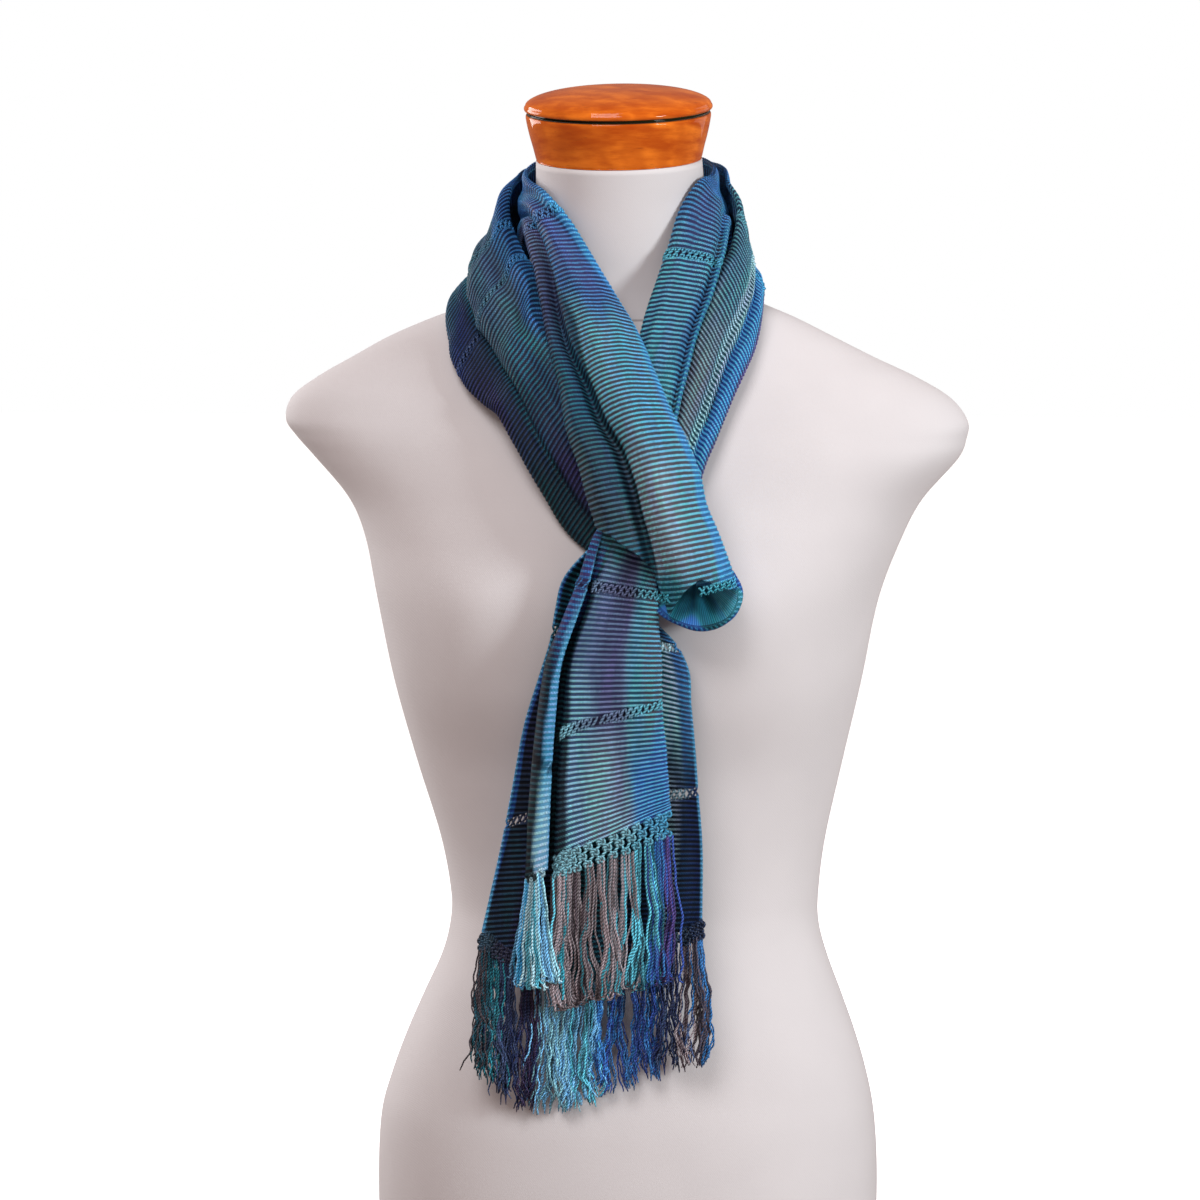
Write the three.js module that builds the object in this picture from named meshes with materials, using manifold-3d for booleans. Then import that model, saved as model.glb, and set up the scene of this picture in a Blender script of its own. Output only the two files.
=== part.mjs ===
// A woven wrap scarf, folded in half round the neck of a limbless dress form, with both ends pulled
// through the fold. Millimetres, +Z up, the form's front towards -Y, the origin under its base.
import * as THREE from "three";
import { mergeVertices } from "three/addons/utils/BufferGeometryUtils.js";
import Module from "manifold-3d";

// Driving dimensions
const CLOTH = 1.2; // wall of the woven cloth
const SEAM = 0.3; // gap between neighbouring pieces
const HEADING = 2.6; // thickness of the knotted heading that the fringe hangs from
const NECK_TOP = 664; // height of the middle of the neck's top
const NECK_TOP_Y = -12; // how far the neck leans forward there
const NECK_TOP_X = -4; // how far it leans sideways
const NECK_TILT = THREE.MathUtils.degToRad(9); // forward tilt of the neck's top and its wooden cap
const COLLAR = { height: 26.5, bottomRadius: 47.5, topRadius: 52.9, edge: 1.2 };
const LID = { rim: 3, dome: 9.5, radius: 53.8, neckRadius: 50.5, neckHeight: 1.4 };
const BUST = { x: 74, z: 392, height: 13, spread: 38 };
const FORM_SIDES = 32;
const CAP_SIDES = 24;
const STRAND_SIDES = 3;
const FRINGE = { gap: 0.03, depth: 0.5, radius: 1.7 }; // gap and depth in rows of the cloth

// The dress form, a row for each level: height, half width, sideways shift, depth in front of and
// behind the middle plane, and how square the outline is
const FORM = { z: 0, half: 1, shift: 2, front: 3, back: 4, square: 5 };
const FORM_ROWS = [
  [0, 143, 0, 93, 98, 2.3],
  [30, 145, 0, 96, 106, 2.3],
  [75, 146, 0, 98, 113, 2.3],
  [110, 144, 0, 97, 113, 2.3],
  [134, 138.5, 1, 94, 109, 2.3],
  [157, 131, 2, 91, 103, 2.25],
  [180, 122, 3, 87, 96, 2.2],
  [203, 112.5, 4, 83, 88, 2.2],
  [222, 107.5, 4, 80, 82, 2.2],
  [240, 107, 4, 78, 79, 2.2],
  [273, 112, 3, 80, 79, 2.2],
  [319, 124, 1, 85, 84, 2.25],
  [365, 135.5, 0, 92, 91, 2.3],
  [412, 145, 0, 96, 98, 2.35],
  [447, 155, 3, 92, 102, 2.4],
  [470, 166, 4, 86, 103, 2.4],
  [493, 186, 4, 78, 102, 2.35],
  [505, 194, 1, 73, 99, 2.3],
  [515, 197.5, -2, 68, 96, 2.25],
  [528, 190.5, -5, 62, 92, 2.2],
  [540, 172.5, -7, 57, 88, 2.15],
  [551, 151, -9, 53, 83, 2.1],
  [563, 128, -10, 49, 77, 2.1],
  [574, 104, -8, 46, 70, 2.05],
  [585, 76, -5, 44.5, 63, 2],
  [597, 58.5, -3, 45, 56, 2],
  [612, 52, -3.5, 48, 48.5, 2],
  [636, 49, -4, 53.5, 42, 2],
];

// The scarf's two halves, a row for each cross-section: its two edges, how far it stands out
// between them, and which of the half's fold profiles it has
const RAIL = { left: 0, right: 3, rise: 6, shape: 7 };
const FRONT_HALF = [
  [2, -126, 399, 74, -128, 421, 12, 0],
  [-1, -128, 418, 72, -130, 434, 13, 0],
  [-1, -129, 432, 68, -131, 447, 14, 0],
  [-3, -129, 445, 63, -130, 459, 14, 0],
  [-6, -128, 461, 56, -128, 475, 14, 0],
  [-11, -126, 477, 52, -125, 491, 14, 0],
  [-17, -120, 496, 44, -120, 510, 13, 0],
  [-24, -112, 514, 34, -111, 527, 13, 0.3],
  [-29, -100, 536, 24, -99, 546, 12, 0.6],
  [-36, -86, 558, 14, -85, 565, 11, 1],
  [-42, -70, 579, 2, -73, 584, 10, 1],
  [-48, -54, 600, -11, -63, 606, 9, 1.5],
  [-54, -39, 616, -25, -52, 627, 8, 1.8],
  [-57, -25, 623, -42, -39, 645, 6, 2],
  [-62, 4, 614, -57, -12, 655, 4, 2], // left side of the neck
  [-62, 30, 606, -54, 16, 663, 4, 2],
  [-42, 61, 603, -36, 41, 668, 4, 2],
  [-3, 69, 603, -3, 50, 670, 4, 2], // nape
  [37, 59, 603, 30, 40, 668, 3, 2],
  [56, 30, 606, 46, 16, 663, 3, 2],
  [58, 4, 614, 48, -10, 656, 3, 2], // right side of the neck
  [59, -14, 628, 42, -29, 651, 4, 2.5],
  [59, -27, 621, 33, -39, 636, 6, 3],
  [57, -40, 605, 26, -50, 611, 7, 3],
  [52, -52, 585, 19, -60, 589, 8, 3],
  [46, -64, 566, 14, -70, 568, 8, 3],
  [41, -77, 543, 9, -82, 544, 7, 3],
  [36, -91, 516, 6, -94, 518, 6, 3],
  [31, -103, 489, 1, -104, 491, 4, 3],
  [27, -111, 463, -3, -112, 467, 4, 3.2],
  [26, -118, 441, -8, -118, 450, 4, 3.6],
  [28, -121, 425, -13, -121, 431, 5, 4],
  [29, -122, 407, -21, -122, 410, 6, 4],
  [30, -123, 385, -30, -123, 385, 7, 4],
  [30, -122, 359, -34, -122, 355, 7, 4],
  [32, -120, 332, -37, -120, 321, 7, 4],
  [33, -118, 311, -39, -118, 286, 7, 4],
  [34, -117, 303, -40, -117, 268, 7, 4], // end of the cloth
  [34, -117, 282, -41, -117, 246, 7, 4],
];
const BACK_HALF = [
  [23, -103, 417, 54, -104, 444, 2, 0],
  [6, -100, 431, 39, -100, 464, 3, 0],
  [-10, -98, 443, 21, -97, 483, 4, 0],
  [-24, -96, 455, 6, -94, 501, 5, 0],
  [-35, -95, 472, -7, -90, 519, 7, 0],
  [-47, -93, 492, -18, -84, 537, 9, 0],
  [-56, -89, 507, -27, -75, 550, 11, 0.2],
  [-66, -83, 522, -36, -65, 566, 13, 0.5],
  [-76, -75, 529, -43, -51, 582, 14, 1],
  [-87, -67, 538, -47, -40, 599, 14, 1],
  [-94, -58, 548, -57, -25, 610, 13, 1],
  [-99, -47, 561, -66, -14, 629, 10, 1],
  [-103, -26, 579, -67, -5, 648, 7, 1.5],
  [-93, 8, 589, -65, 8, 655, 4, 2], // left side of the neck
  [-87, 42, 581, -61, 28, 660, 4, 2],
  [-56, 78, 573, -42, 54, 665, 5, 2],
  [-3, 90, 568, -3, 60, 667, 5, 2], // nape
  [50, 76, 573, 37, 53, 665, 4, 2],
  [72, 42, 581, 53, 28, 660, 3, 2],
  [77, 8, 588, 57, 6, 652, 3, 2], // right side of the neck
  [80, -15, 590, 64, -6, 638, 4, 2.5],
  [80, -39, 573, 61, -20, 613, 7, 3],
  [77, -52, 556, 54, -33, 601, 8, 3],
  [72, -63, 544, 48, -45, 582, 8, 3],
  [65, -72, 527, 43, -58, 562, 8, 3],
  [59, -81, 511, 38, -69, 541, 7, 3],
  [53, -90, 495, 34, -81, 521, 6, 3],
  [48, -97, 477, 30, -92, 500, 4, 3],
  [46, -104, 459, 24, -102, 480, 4, 3.3],
  [40, -108, 441, 6, -107, 461, 4, 3.6],
  [28, -109, 427, -8, -110, 450, 4, 4],
  [24, -110, 411, -24, -111, 432, 5, 4],
  [38, -110, 395, -29, -111, 414, 5, 4],
  [45, -110, 380, -32, -110, 397, 5, 4],
  [46, -109, 362, -38, -109, 378, 5, 4],
  [48, -107, 339, -47, -107, 349, 6, 4],
  [50, -106, 311, -54, -105, 313, 7, 4],
  [52, -104, 281, -61, -104, 278, 7, 4],
  [52, -104, 242, -71, -104, 234, 7, 4], // end of the cloth at its corners
  [52, -104, 215, -77, -104, 207, 7, 4],
  [52, -104, 189, -80, -104, 182, 7, 4],
];
const TURN = [
  [24, -105, 416, 55, -106, 443, 4, 0],
  [31, -107, 411, 64, -108, 429, 4, 0],
  [35, -111, 407, 70, -111, 418, 3, 0], // lower lip
  [36, -118, 407, 71, -118, 418, 3, 0],
  [35, -122, 412, 70, -122, 421, 3, 0], // groove
  [34, -127, 412, 72, -128, 422, 3, 0], // upper lip
  [36, -130, 418, 73, -133, 426, 4, 0],
  [38, -128, 425, 71, -133, 432, 4, 0],
  [40, -126, 432, 67, -131, 437, 4, 0], // inside the mouth
];

// Fold profiles across the cloth, from its left edge to its right one: the place between the two
// edges, from -1 to 1, and the height as a share of the row's rise
const FRONT_PROFILES = [
  // two rolls with a deep crease between them
  [[-0.5, -0.3], [-0.88, -0.3], [-1, 0.05], [-0.72, 0.62], [-0.38, 0.45], [-0.2, -0.15],
    [-0.05, 0.55], [0.3, 1], [0.75, 0.8], [1, 0.1], [0.86, -0.3], [0.4, -0.3]],
  // a narrow low roll beside a broad one
  [[-0.6, -0.45], [-0.9, -0.5], [-1, -0.2], [-0.9, 0.1], [-0.72, -0.05], [-0.6, -0.3],
    [-0.45, 0.45], [0.1, 1], [0.65, 0.85], [1, 0.1], [0.86, -0.4], [0.4, -0.4]],
  // a band standing round the neck
  [[-0.8, -0.3], [-0.97, -0.2], [-1, 0.1], [-0.8, 0.5], [-0.55, 0.8], [-0.3, 0.3],
    [-0.05, 0.8], [0.25, 1], [0.55, 0.4], [0.85, 0.6], [1, 0.15], [0.88, -0.2]],
  // a flat arch with its outer selvage folded over
  [[-0.6, -0.35], [-0.92, -0.2], [-1, 0.25], [-0.88, 0.6], [-0.74, 0.1], [-0.55, 0.7],
    [-0.2, 0.95], [0.2, 1], [0.6, 0.85], [0.92, 0.4], [1, -0.1], [0.8, -0.5]],
  // a hanging panel with a pleat at its free side, the selvage in front
  [[-0.8, -0.8], [-0.97, -0.45], [-1, 0], [-0.6, 0.25], [-0.1, 0.3], [0.4, 0.25],
    [0.68, 0.05], [0.74, -0.7], [0.95, -0.95], [1.12, -0.5], [1, 0.25], [0.8, 0.55]],
];
const BACK_PROFILES = [
  // flat under the crossing, with a flap at its outer side
  [[-0.8, -0.6], [-1, -0.2], [-0.85, 0.35], [-0.6, 0.4], [-0.45, 0.2], [-0.3, 0.7],
    [0, 0.9], [0.3, 0.7], [0.55, 1], [0.85, 0.7], [1, 0.1], [0.85, -0.5]],
  // an overlapping fold that stands proud of the flap at the shoulder
  [[-0.8, -0.6], [-1, -0.35], [-0.85, -0.05], [-0.45, 0], [-0.14, -0.2], [-0.3, 0.35],
    [-0.08, 0.8], [0.2, 0.85], [0.45, 0.65], [0.8, 0.9], [1, 0.15], [0.88, -0.2]],
  // a band standing round the neck
  [[-0.85, -0.7], [-1, -0.35], [-0.9, 0.1], [-0.68, -0.5], [-0.42, -1.2], [-0.15, -0.7],
    [0.1, -0.4], [0.35, -1.1], [0.6, -0.3], [0.85, 0.25], [1, 0], [0.88, -0.5]],
  // three ridges side by side
  [[-0.75, -0.6], [-1, -0.2], [-0.9, 0.3], [-0.65, 0.5], [-0.42, 0.05], [-0.28, 0.6],
    [-0.1, 0.35], [0.15, 0.85], [0.5, 1], [0.85, 0.7], [1, 0.1], [0.85, -0.45]],
  // a hanging panel with long soft waves, its free side brought forward
  [[-1, 0.3], [-0.9, 0.15], [-0.65, -0.05], [-0.4, -0.3], [-0.15, -0.6], [0.05, -0.2],
    [0.2, -0.6], [0.42, -0.8], [0.62, -0.5], [0.8, -0.2], [0.92, 0.1], [1, 0.4]],
];
const TURN_PROFILES = [
  [[-1, 0], [-0.82, 0.3], [-0.64, 0.55], [-0.45, 0.75], [-0.27, 0.9], [-0.09, 1],
    [0.09, 1], [0.27, 0.9], [0.45, 0.75], [0.64, 0.55], [0.82, 0.3], [1, 0]],
];

// How far along its rows each cloth edge lies, for each point of the profile
const LOOP_FRONT_END = [4.2, 4.1, 4, 3.6, 2.8, 2, 0.35, 1.1, 1.35, 0.9, 0.9, 1.1];
const BACK_END_HEM = [38, 38.1, 38.3, 38.6, 38.85, 38.9, 38.9, 38.8, 38.6, 38.3, 38.1, 38];

// Interpolates the values at whole numbers 0, 1, 2... smoothly through every one
function smooth(values, at) {
  const last = values.length - 1;
  const i = Math.min(Math.max(Math.floor(at), 0), last - 1);
  const t = at - i;
  const [a, b] = [values[i], values[i + 1]];
  const slopeA = i > 0 ? (b - values[i - 1]) / 2 : b - a;
  const slopeB = i < last - 1 ? (values[i + 2] - a) / 2 : b - a;
  const h = t * t * (3 - 2 * t);
  return a * (1 - h) + b * h + slopeA * t * (1 - t) * (1 - t) - slopeB * t * t * (1 - t);
}

function straight(values, at) {
  const i = Math.min(Math.max(Math.floor(at), 0), values.length - 2);
  return values[i] + (values[i + 1] - values[i]) * (at - i);
}

const column = (rows, c) => rows.map((row) => row[c]);

function edgePoint(rows, first, v) {
  return new THREE.Vector3(
    smooth(column(rows, first), v),
    smooth(column(rows, first + 1), v),
    smooth(column(rows, first + 2), v),
  );
}

// A length of cloth: its point at across (0 to 1, left edge to right edge) and row v
function makeCloth(rows, profiles) {
  const middle = (v) =>
    edgePoint(rows, RAIL.left, v).add(edgePoint(rows, RAIL.right, v)).multiplyScalar(0.5);
  const nudge = 0.05;

  function point(across, v) {
    const left = edgePoint(rows, RAIL.left, v);
    const right = edgePoint(rows, RAIL.right, v);
    const side = right.clone().sub(left);
    const half = side.length() / 2;
    side.normalize();
    const along = middle(v + nudge).sub(middle(v - nudge));
    const out = side.clone().cross(along).normalize();
    const shape = straight(column(rows, RAIL.shape), v);
    const rise = smooth(column(rows, RAIL.rise), v);
    const low = profiles[Math.min(Math.floor(shape), profiles.length - 1)];
    const high = profiles[Math.min(Math.floor(shape) + 1, profiles.length - 1)];
    const mix = shape - Math.floor(shape);
    const at = across * (low.length - 1);
    const value = (c) =>
      smooth(column(low, c), at) * (1 - mix) + smooth(column(high, c), at) * mix;
    return left
      .add(right)
      .multiplyScalar(0.5)
      .addScaledVector(side, value(0) * half)
      .addScaledVector(out, value(1) * rise);
  }

  function normal(across, v) {
    const step = 0.004;
    const over = point(across + step, v).sub(point(across - step, v));
    const along = point(across, v + nudge).sub(point(across, v - nudge));
    return over.cross(along).normalize();
  }

  return { point, normal };
}

// A closed surface through a grid of outer points and a grid of inner ones, joined at the rim
function closedGrid(outer, inner) {
  const rows = outer.length;
  const cols = outer[0].length;
  const points = [...outer.flat(), ...inner.flat()];
  const out = (i, j) => i * cols + j;
  const inn = (i, j) => rows * cols + i * cols + j;
  const index = [];
  const quad = (a, b, c, d) => index.push(a, b, c, a, c, d);
  for (let i = 0; i < rows - 1; i++)
    for (let j = 0; j < cols - 1; j++) {
      quad(out(i, j), out(i, j + 1), out(i + 1, j + 1), out(i + 1, j));
      quad(inn(i, j), inn(i + 1, j), inn(i + 1, j + 1), inn(i, j + 1));
    }
  for (let j = 0; j < cols - 1; j++) {
    quad(out(0, j), inn(0, j), inn(0, j + 1), out(0, j + 1));
    quad(out(rows - 1, j + 1), inn(rows - 1, j + 1), inn(rows - 1, j), out(rows - 1, j));
  }
  for (let i = 0; i < rows - 1; i++) {
    quad(out(i + 1, 0), inn(i + 1, 0), inn(i, 0), out(i, 0));
    quad(out(i, cols - 1), inn(i, cols - 1), inn(i + 1, cols - 1), out(i + 1, cols - 1));
  }
  return new THREE.BufferGeometry().setFromPoints(points).setIndex(index);
}

// The outer and inner points of a stretch of cloth between two edges, each a row or a table of rows
function wallPoints(cloth, { from, to, start = 0, end = 1, cols, rows, wall = CLOTH }) {
  const edge = (value, across) =>
    Array.isArray(value) ? straight(value, across * (value.length - 1)) : value;
  const outer = [];
  const inner = [];
  for (let i = 0; i <= rows; i++) {
    outer.push([]);
    inner.push([]);
    for (let j = 0; j <= cols; j++) {
      const across = start + ((end - start) * j) / cols;
      const first = edge(from, across);
      const v = first + ((edge(to, across) - first) * i) / rows;
      const p = cloth.point(across, v);
      outer[i].push(p);
      inner[i].push(p.clone().addScaledVector(cloth.normal(across, v), -wall));
    }
  }
  return { outer, inner };
}

function clothWall(cloth, stretch) {
  const { outer, inner } = wallPoints(cloth, stretch);
  return closedGrid(outer, inner);
}

// The dress form's body and neck
function formRing(row, sides) {
  const ring = [];
  for (let k = 0; k < sides; k++) {
    const angle = (2 * Math.PI * k) / sides;
    const power = (value) => Math.sign(value) * Math.abs(value) ** (2 / row[FORM.square]);
    const x = row[FORM.half] * power(Math.cos(angle));
    const y = power(Math.sin(angle)) * (Math.sin(angle) < 0 ? row[FORM.front] : row[FORM.back]);
    const bust = [-1, 1].reduce((sum, s) => {
      const far = (x - s * BUST.x) ** 2 + (row[FORM.z] - BUST.z) ** 2;
      return sum + BUST.height * Math.exp(-far / (2 * BUST.spread ** 2));
    }, 0);
    const forward = y < 0 ? bust * Math.min(1, -y / (row[FORM.front] * 0.5)) : 0;
    ring.push(new THREE.Vector3(x + row[FORM.shift], y - forward, row[FORM.z]));
  }
  return ring;
}

function neckTopRing(sides) {
  const radius = COLLAR.bottomRadius;
  const ring = [];
  for (let k = 0; k < sides; k++) {
    const angle = (2 * Math.PI * k) / sides;
    ring.push(
      new THREE.Vector3(radius * Math.cos(angle), radius * Math.sin(angle), 0)
        .applyAxisAngle(new THREE.Vector3(1, 0, 0), NECK_TILT)
        .add(new THREE.Vector3(NECK_TOP_X, NECK_TOP_Y, NECK_TOP)),
    );
  }
  return ring;
}

function dressForm() {
  const rings = [...FORM_ROWS.map((row) => formRing(row, FORM_SIDES)), neckTopRing(FORM_SIDES)];
  const points = rings.flat();
  const bottom = points.length;
  points.push(new THREE.Vector3(0, 0, 0));
  points.push(new THREE.Vector3(NECK_TOP_X, NECK_TOP_Y, NECK_TOP));
  const index = [];
  const last = (rings.length - 1) * FORM_SIDES;
  for (let k = 0; k < FORM_SIDES; k++) {
    const next = (k + 1) % FORM_SIDES;
    for (let i = 0; i < rings.length - 1; i++) {
      const [a, b] = [i * FORM_SIDES + k, i * FORM_SIDES + next];
      index.push(a, b, b + FORM_SIDES, a, b + FORM_SIDES, a + FORM_SIDES);
    }
    index.push(bottom, next, k);
    index.push(bottom + 1, last + k, last + next);
  }
  return new THREE.BufferGeometry().setFromPoints(points).setIndex(index);
}

// The wooden neck cap: a flared collar and a domed lid with a groove between them
function turned(profile) {
  const points = profile.map(([radius, height]) => new THREE.Vector2(radius, height));
  return new THREE.LatheGeometry(points, CAP_SIDES).rotateX(Math.PI / 2);
}

function capCollar() {
  const { height, bottomRadius, topRadius, edge } = COLLAR;
  return turned([
    [0, 0],
    [bottomRadius - edge, 0],
    [bottomRadius, edge],
    [bottomRadius + (topRadius - bottomRadius) * 0.62, height * 0.5],
    [topRadius, height - edge],
    [topRadius - edge, height],
    [0, height],
  ]);
}

function capLid() {
  const { rim, dome, radius, neckRadius, neckHeight } = LID;
  const profile = [
    [0, 0],
    [neckRadius, 0],
    [neckRadius, neckHeight],
    [radius - 0.8, neckHeight],
    [radius, neckHeight + rim * 0.5],
    [radius - 0.6, neckHeight + rim],
  ];
  const steps = 5;
  for (let i = 1; i <= steps; i++) {
    const angle = (Math.PI / 2) * (i / steps);
    const share = i === steps ? 0 : Math.cos(angle) ** 0.8;
    profile.push([(radius - 0.6) * share, neckHeight + rim + dome * Math.sin(angle) ** 1.1]);
  }
  return turned(profile);
}

function onNeckTop(mesh, height) {
  mesh.rotation.x = NECK_TILT;
  mesh.position.set(
    NECK_TOP_X,
    NECK_TOP_Y - height * Math.sin(NECK_TILT),
    NECK_TOP + height * Math.cos(NECK_TILT),
  );
  return mesh;
}

// Fringe: strands rooted in a narrow knotted heading that follows the cloth's edge
const wasm = await Module();
wasm.setup();

function solid(geometry) {
  const bare = geometry.clone();
  bare.deleteAttribute("normal");
  bare.deleteAttribute("uv");
  const merged = mergeVertices(bare, 1e-4);
  return new wasm.Manifold(
    new wasm.Mesh({
      numProp: 3,
      vertProperties: merged.attributes.position.array,
      triVerts: new Uint32Array(merged.index.array),
    }),
  );
}

function geometryOf(made) {
  const mesh = made.getMesh();
  const positions = new Float32Array(mesh.numVert * 3);
  for (let i = 0; i < mesh.numVert; i++)
    positions.set(mesh.vertProperties.subarray(i * mesh.numProp, i * mesh.numProp + 3), i * 3);
  return new THREE.BufferGeometry()
    .setAttribute("position", new THREE.BufferAttribute(positions, 3))
    .setIndex(new THREE.BufferAttribute(new Uint32Array(mesh.triVerts), 1));
}

// One strand, a tapering three-sided tube down a list of { at, radius } stations
function strand(stations, turn) {
  const points = [];
  for (const { at, radius } of stations)
    for (let k = 0; k < STRAND_SIDES; k++) {
      const angle = turn + (2 * Math.PI * k) / STRAND_SIDES;
      points.push(new THREE.Vector3(radius * Math.cos(angle), radius * Math.sin(angle), 0).add(at));
    }
  const index = [];
  const last = (stations.length - 1) * STRAND_SIDES;
  for (let k = 0; k < STRAND_SIDES; k++) {
    const next = (k + 1) % STRAND_SIDES;
    for (let i = 0; i < stations.length - 1; i++) {
      const [a, b] = [i * STRAND_SIDES + k, i * STRAND_SIDES + next];
      index.push(a, b + STRAND_SIDES, b, a, a + STRAND_SIDES, b + STRAND_SIDES);
    }
  }
  for (let k = 1; k < STRAND_SIDES - 1; k++) {
    index.push(0, k, k + 1);
    index.push(last, last + k + 1, last + k);
  }
  return new THREE.BufferGeometry().setFromPoints(points).setIndex(index);
}

function fringe(cloth, plan) {
  const { hem, gap, depth, length, spread, radius, centre } = plan;
  const shifted = (by) => (Array.isArray(hem) ? hem.map((v) => v + by) : hem + by);
  const { outer, inner } = wallPoints(cloth, {
    ...plan, from: shifted(gap), to: shifted(depth), rows: 1, wall: HEADING,
  });
  let whole = solid(closedGrid(outer, inner));
  for (let k = 0; k < plan.cols; k++) {
    const corners = [outer, inner].flatMap((grid) => [0, 1].flatMap((i) => [grid[i][k], grid[i][k + 1]]));
    const root = corners.reduce((sum, p) => sum.add(p), new THREE.Vector3()).divideScalar(corners.length);
    const share = (k + 0.5) / plan.cols;
    const fall = straight(length, share * (length.length - 1));
    const station = (down, wide) => ({
      at: new THREE.Vector3(
        root.x + (root.x - centre) * spread * down + Math.sin(k * 2.4) * 0.8 * down,
        root.y + Math.cos(k * 1.7) * 1.2 * down,
        root.z - fall * down,
      ),
      radius: wide,
    });
    const stations = [station(0, HEADING * 0.36), station(0.5, radius), station(1, radius * 0.5)];
    whole = whole.add(solid(strand(stations, k * 0.9)));
  }
  return geometryOf(whole);
}

// Materials
const paint = (color, roughness, metalness = 0) =>
  new THREE.MeshStandardMaterial({ color, roughness, metalness });
const JERSEY = paint(0xe4dcdc, 0.9);
const WOOD = paint(0xa8501c, 0.25);
const TEAL = paint(0x3f8ba0, 0.75);
const BLUE = paint(0x3a5f8f, 0.75);
const PALE = paint(0x6fb0c4, 0.75);

// Assembly
const scarf = new THREE.Group();
const add = (parent, name, geometry, material) => {
  const mesh = new THREE.Mesh(geometry, material);
  mesh.name = name;
  parent.add(mesh);
  return mesh;
};

const front = makeCloth(FRONT_HALF, FRONT_PROFILES);
const back = makeCloth(BACK_HALF, BACK_PROFILES);
const turn = makeCloth(TURN, TURN_PROFILES);

// The share of a row that makes the seam gap, where rows lie about this far apart
const ROW_GAP = SEAM / 20;

const STRETCHES = [
  { name: "loop_front", cloth: front, from: LOOP_FRONT_END, to: 14 - ROW_GAP, cols: 33, rows: 13, material: TEAL },
  { name: "neck_wrap_inner", cloth: front, from: 14 + ROW_GAP, to: 20 - ROW_GAP, cols: 22, rows: 10, material: BLUE },
  { name: "strand_inner", cloth: front, from: 20 + ROW_GAP, to: 30 - ROW_GAP, cols: 22, rows: 9, material: TEAL },
  { name: "front_end", cloth: front, from: 30 + ROW_GAP, to: 37, cols: 22, rows: 8, material: TEAL },
  { name: "loop_turn", cloth: turn, from: 0, to: 8, cols: 9, rows: 12, material: TEAL },
  { name: "loop_back", cloth: back, from: 0.05, to: 13 - ROW_GAP, cols: 22, rows: 13, material: BLUE },
  { name: "neck_wrap_outer", cloth: back, from: 13 + ROW_GAP, to: 19 - ROW_GAP, cols: 22, rows: 10, material: BLUE },
  { name: "strand_outer", cloth: back, from: 19 + ROW_GAP, to: 29 - ROW_GAP, cols: 22, rows: 9, material: TEAL },
  { name: "back_end", cloth: back, from: 29 + ROW_GAP, to: BACK_END_HEM, cols: 22, rows: 9, material: BLUE },
];
for (const stretch of STRETCHES)
  add(scarf, stretch.name, clothWall(stretch.cloth, stretch), stretch.material);

const FRINGES = [
  { name: "front_fringe", cloth: front, hem: 37, start: 0.18, end: 0.6, cols: 16,
    length: [84, 83, 78, 71, 64], spread: 0, centre: 0, material: TEAL },
  { name: "side_fringe", cloth: front, hem: 37, start: 0.7, end: 1, cols: 6,
    length: [60, 64, 62], spread: 0.8, centre: -33, material: PALE },
  { name: "back_fringe", cloth: back, hem: BACK_END_HEM, start: 0, end: 1, cols: 33,
    length: [72, 70, 66, 68, 76, 78, 72, 66], spread: 0.08, centre: -8, material: BLUE },
];
for (const plan of FRINGES)
  add(scarf, plan.name, fringe(plan.cloth, { ...FRINGE, ...plan }), plan.material);

const stand = new THREE.Group();
add(stand, "dress_form", dressForm(), JERSEY);
stand.add(onNeckTop(add(stand, "cap_collar", capCollar(), WOOD), SEAM));
stand.add(onNeckTop(add(stand, "cap_lid", capLid(), WOOD), SEAM + COLLAR.height + SEAM));

const whole = new THREE.Group();
whole.add(stand, scarf);

export default whole;
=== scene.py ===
"""Looks of the woven wrap scarf on its limbless dress form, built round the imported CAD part.

Lengths in the tables are in millimetres and every Blender object is in metres, in the CAD frame.
"""

import math

import bpy
import numpy as np
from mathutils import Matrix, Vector


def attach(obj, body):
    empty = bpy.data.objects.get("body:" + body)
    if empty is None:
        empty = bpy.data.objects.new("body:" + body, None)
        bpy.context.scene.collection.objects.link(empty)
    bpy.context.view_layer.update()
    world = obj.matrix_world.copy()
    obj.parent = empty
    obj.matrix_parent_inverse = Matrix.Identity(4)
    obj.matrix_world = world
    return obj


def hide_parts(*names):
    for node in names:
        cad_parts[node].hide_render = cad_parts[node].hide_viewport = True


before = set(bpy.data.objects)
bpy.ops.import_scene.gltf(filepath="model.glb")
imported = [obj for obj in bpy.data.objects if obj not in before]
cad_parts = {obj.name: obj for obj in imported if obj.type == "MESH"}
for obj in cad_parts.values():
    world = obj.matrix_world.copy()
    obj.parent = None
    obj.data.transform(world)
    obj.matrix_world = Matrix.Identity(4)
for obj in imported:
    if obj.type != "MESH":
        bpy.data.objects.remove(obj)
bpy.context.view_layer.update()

# Driving values, the same as the CAD part's
CLOTH = 1.2
NECK_TOP = (-4, -12, 664)
NECK_TILT = math.radians(9)
BUST_X, BUST_Z, BUST_HEIGHT, BUST_SPREAD = 74, 392, 13, 38
RIB = 2.95  # pitch of the weave's ribs
RIB_HEIGHT = 0.3
OPENWORK = 5.2  # height of an openwork row
NECK_RADIUS = 47.5

# Fineness of the meshes: columns across a cloth, rows to a rib, sides of the form and of the cap
COLUMNS, RIB_ROWS = 98, 4
FORM_SIDES, CAP_SIDES = 120, 112

# The photograph's camera, in metres, and the width of its square picture
AZIMUTH, ELEVATION = math.radians(6), math.radians(5)
TARGET, DISTANCE = (-0.0162, 0, 0.410), 2.4
LENS, SENSOR, PICTURE = 124.14, 36, 1200
TO_CAMERA = (math.sin(AZIMUTH) * math.cos(ELEVATION), -math.cos(AZIMUTH) * math.cos(ELEVATION),
             math.sin(ELEVATION))

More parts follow.
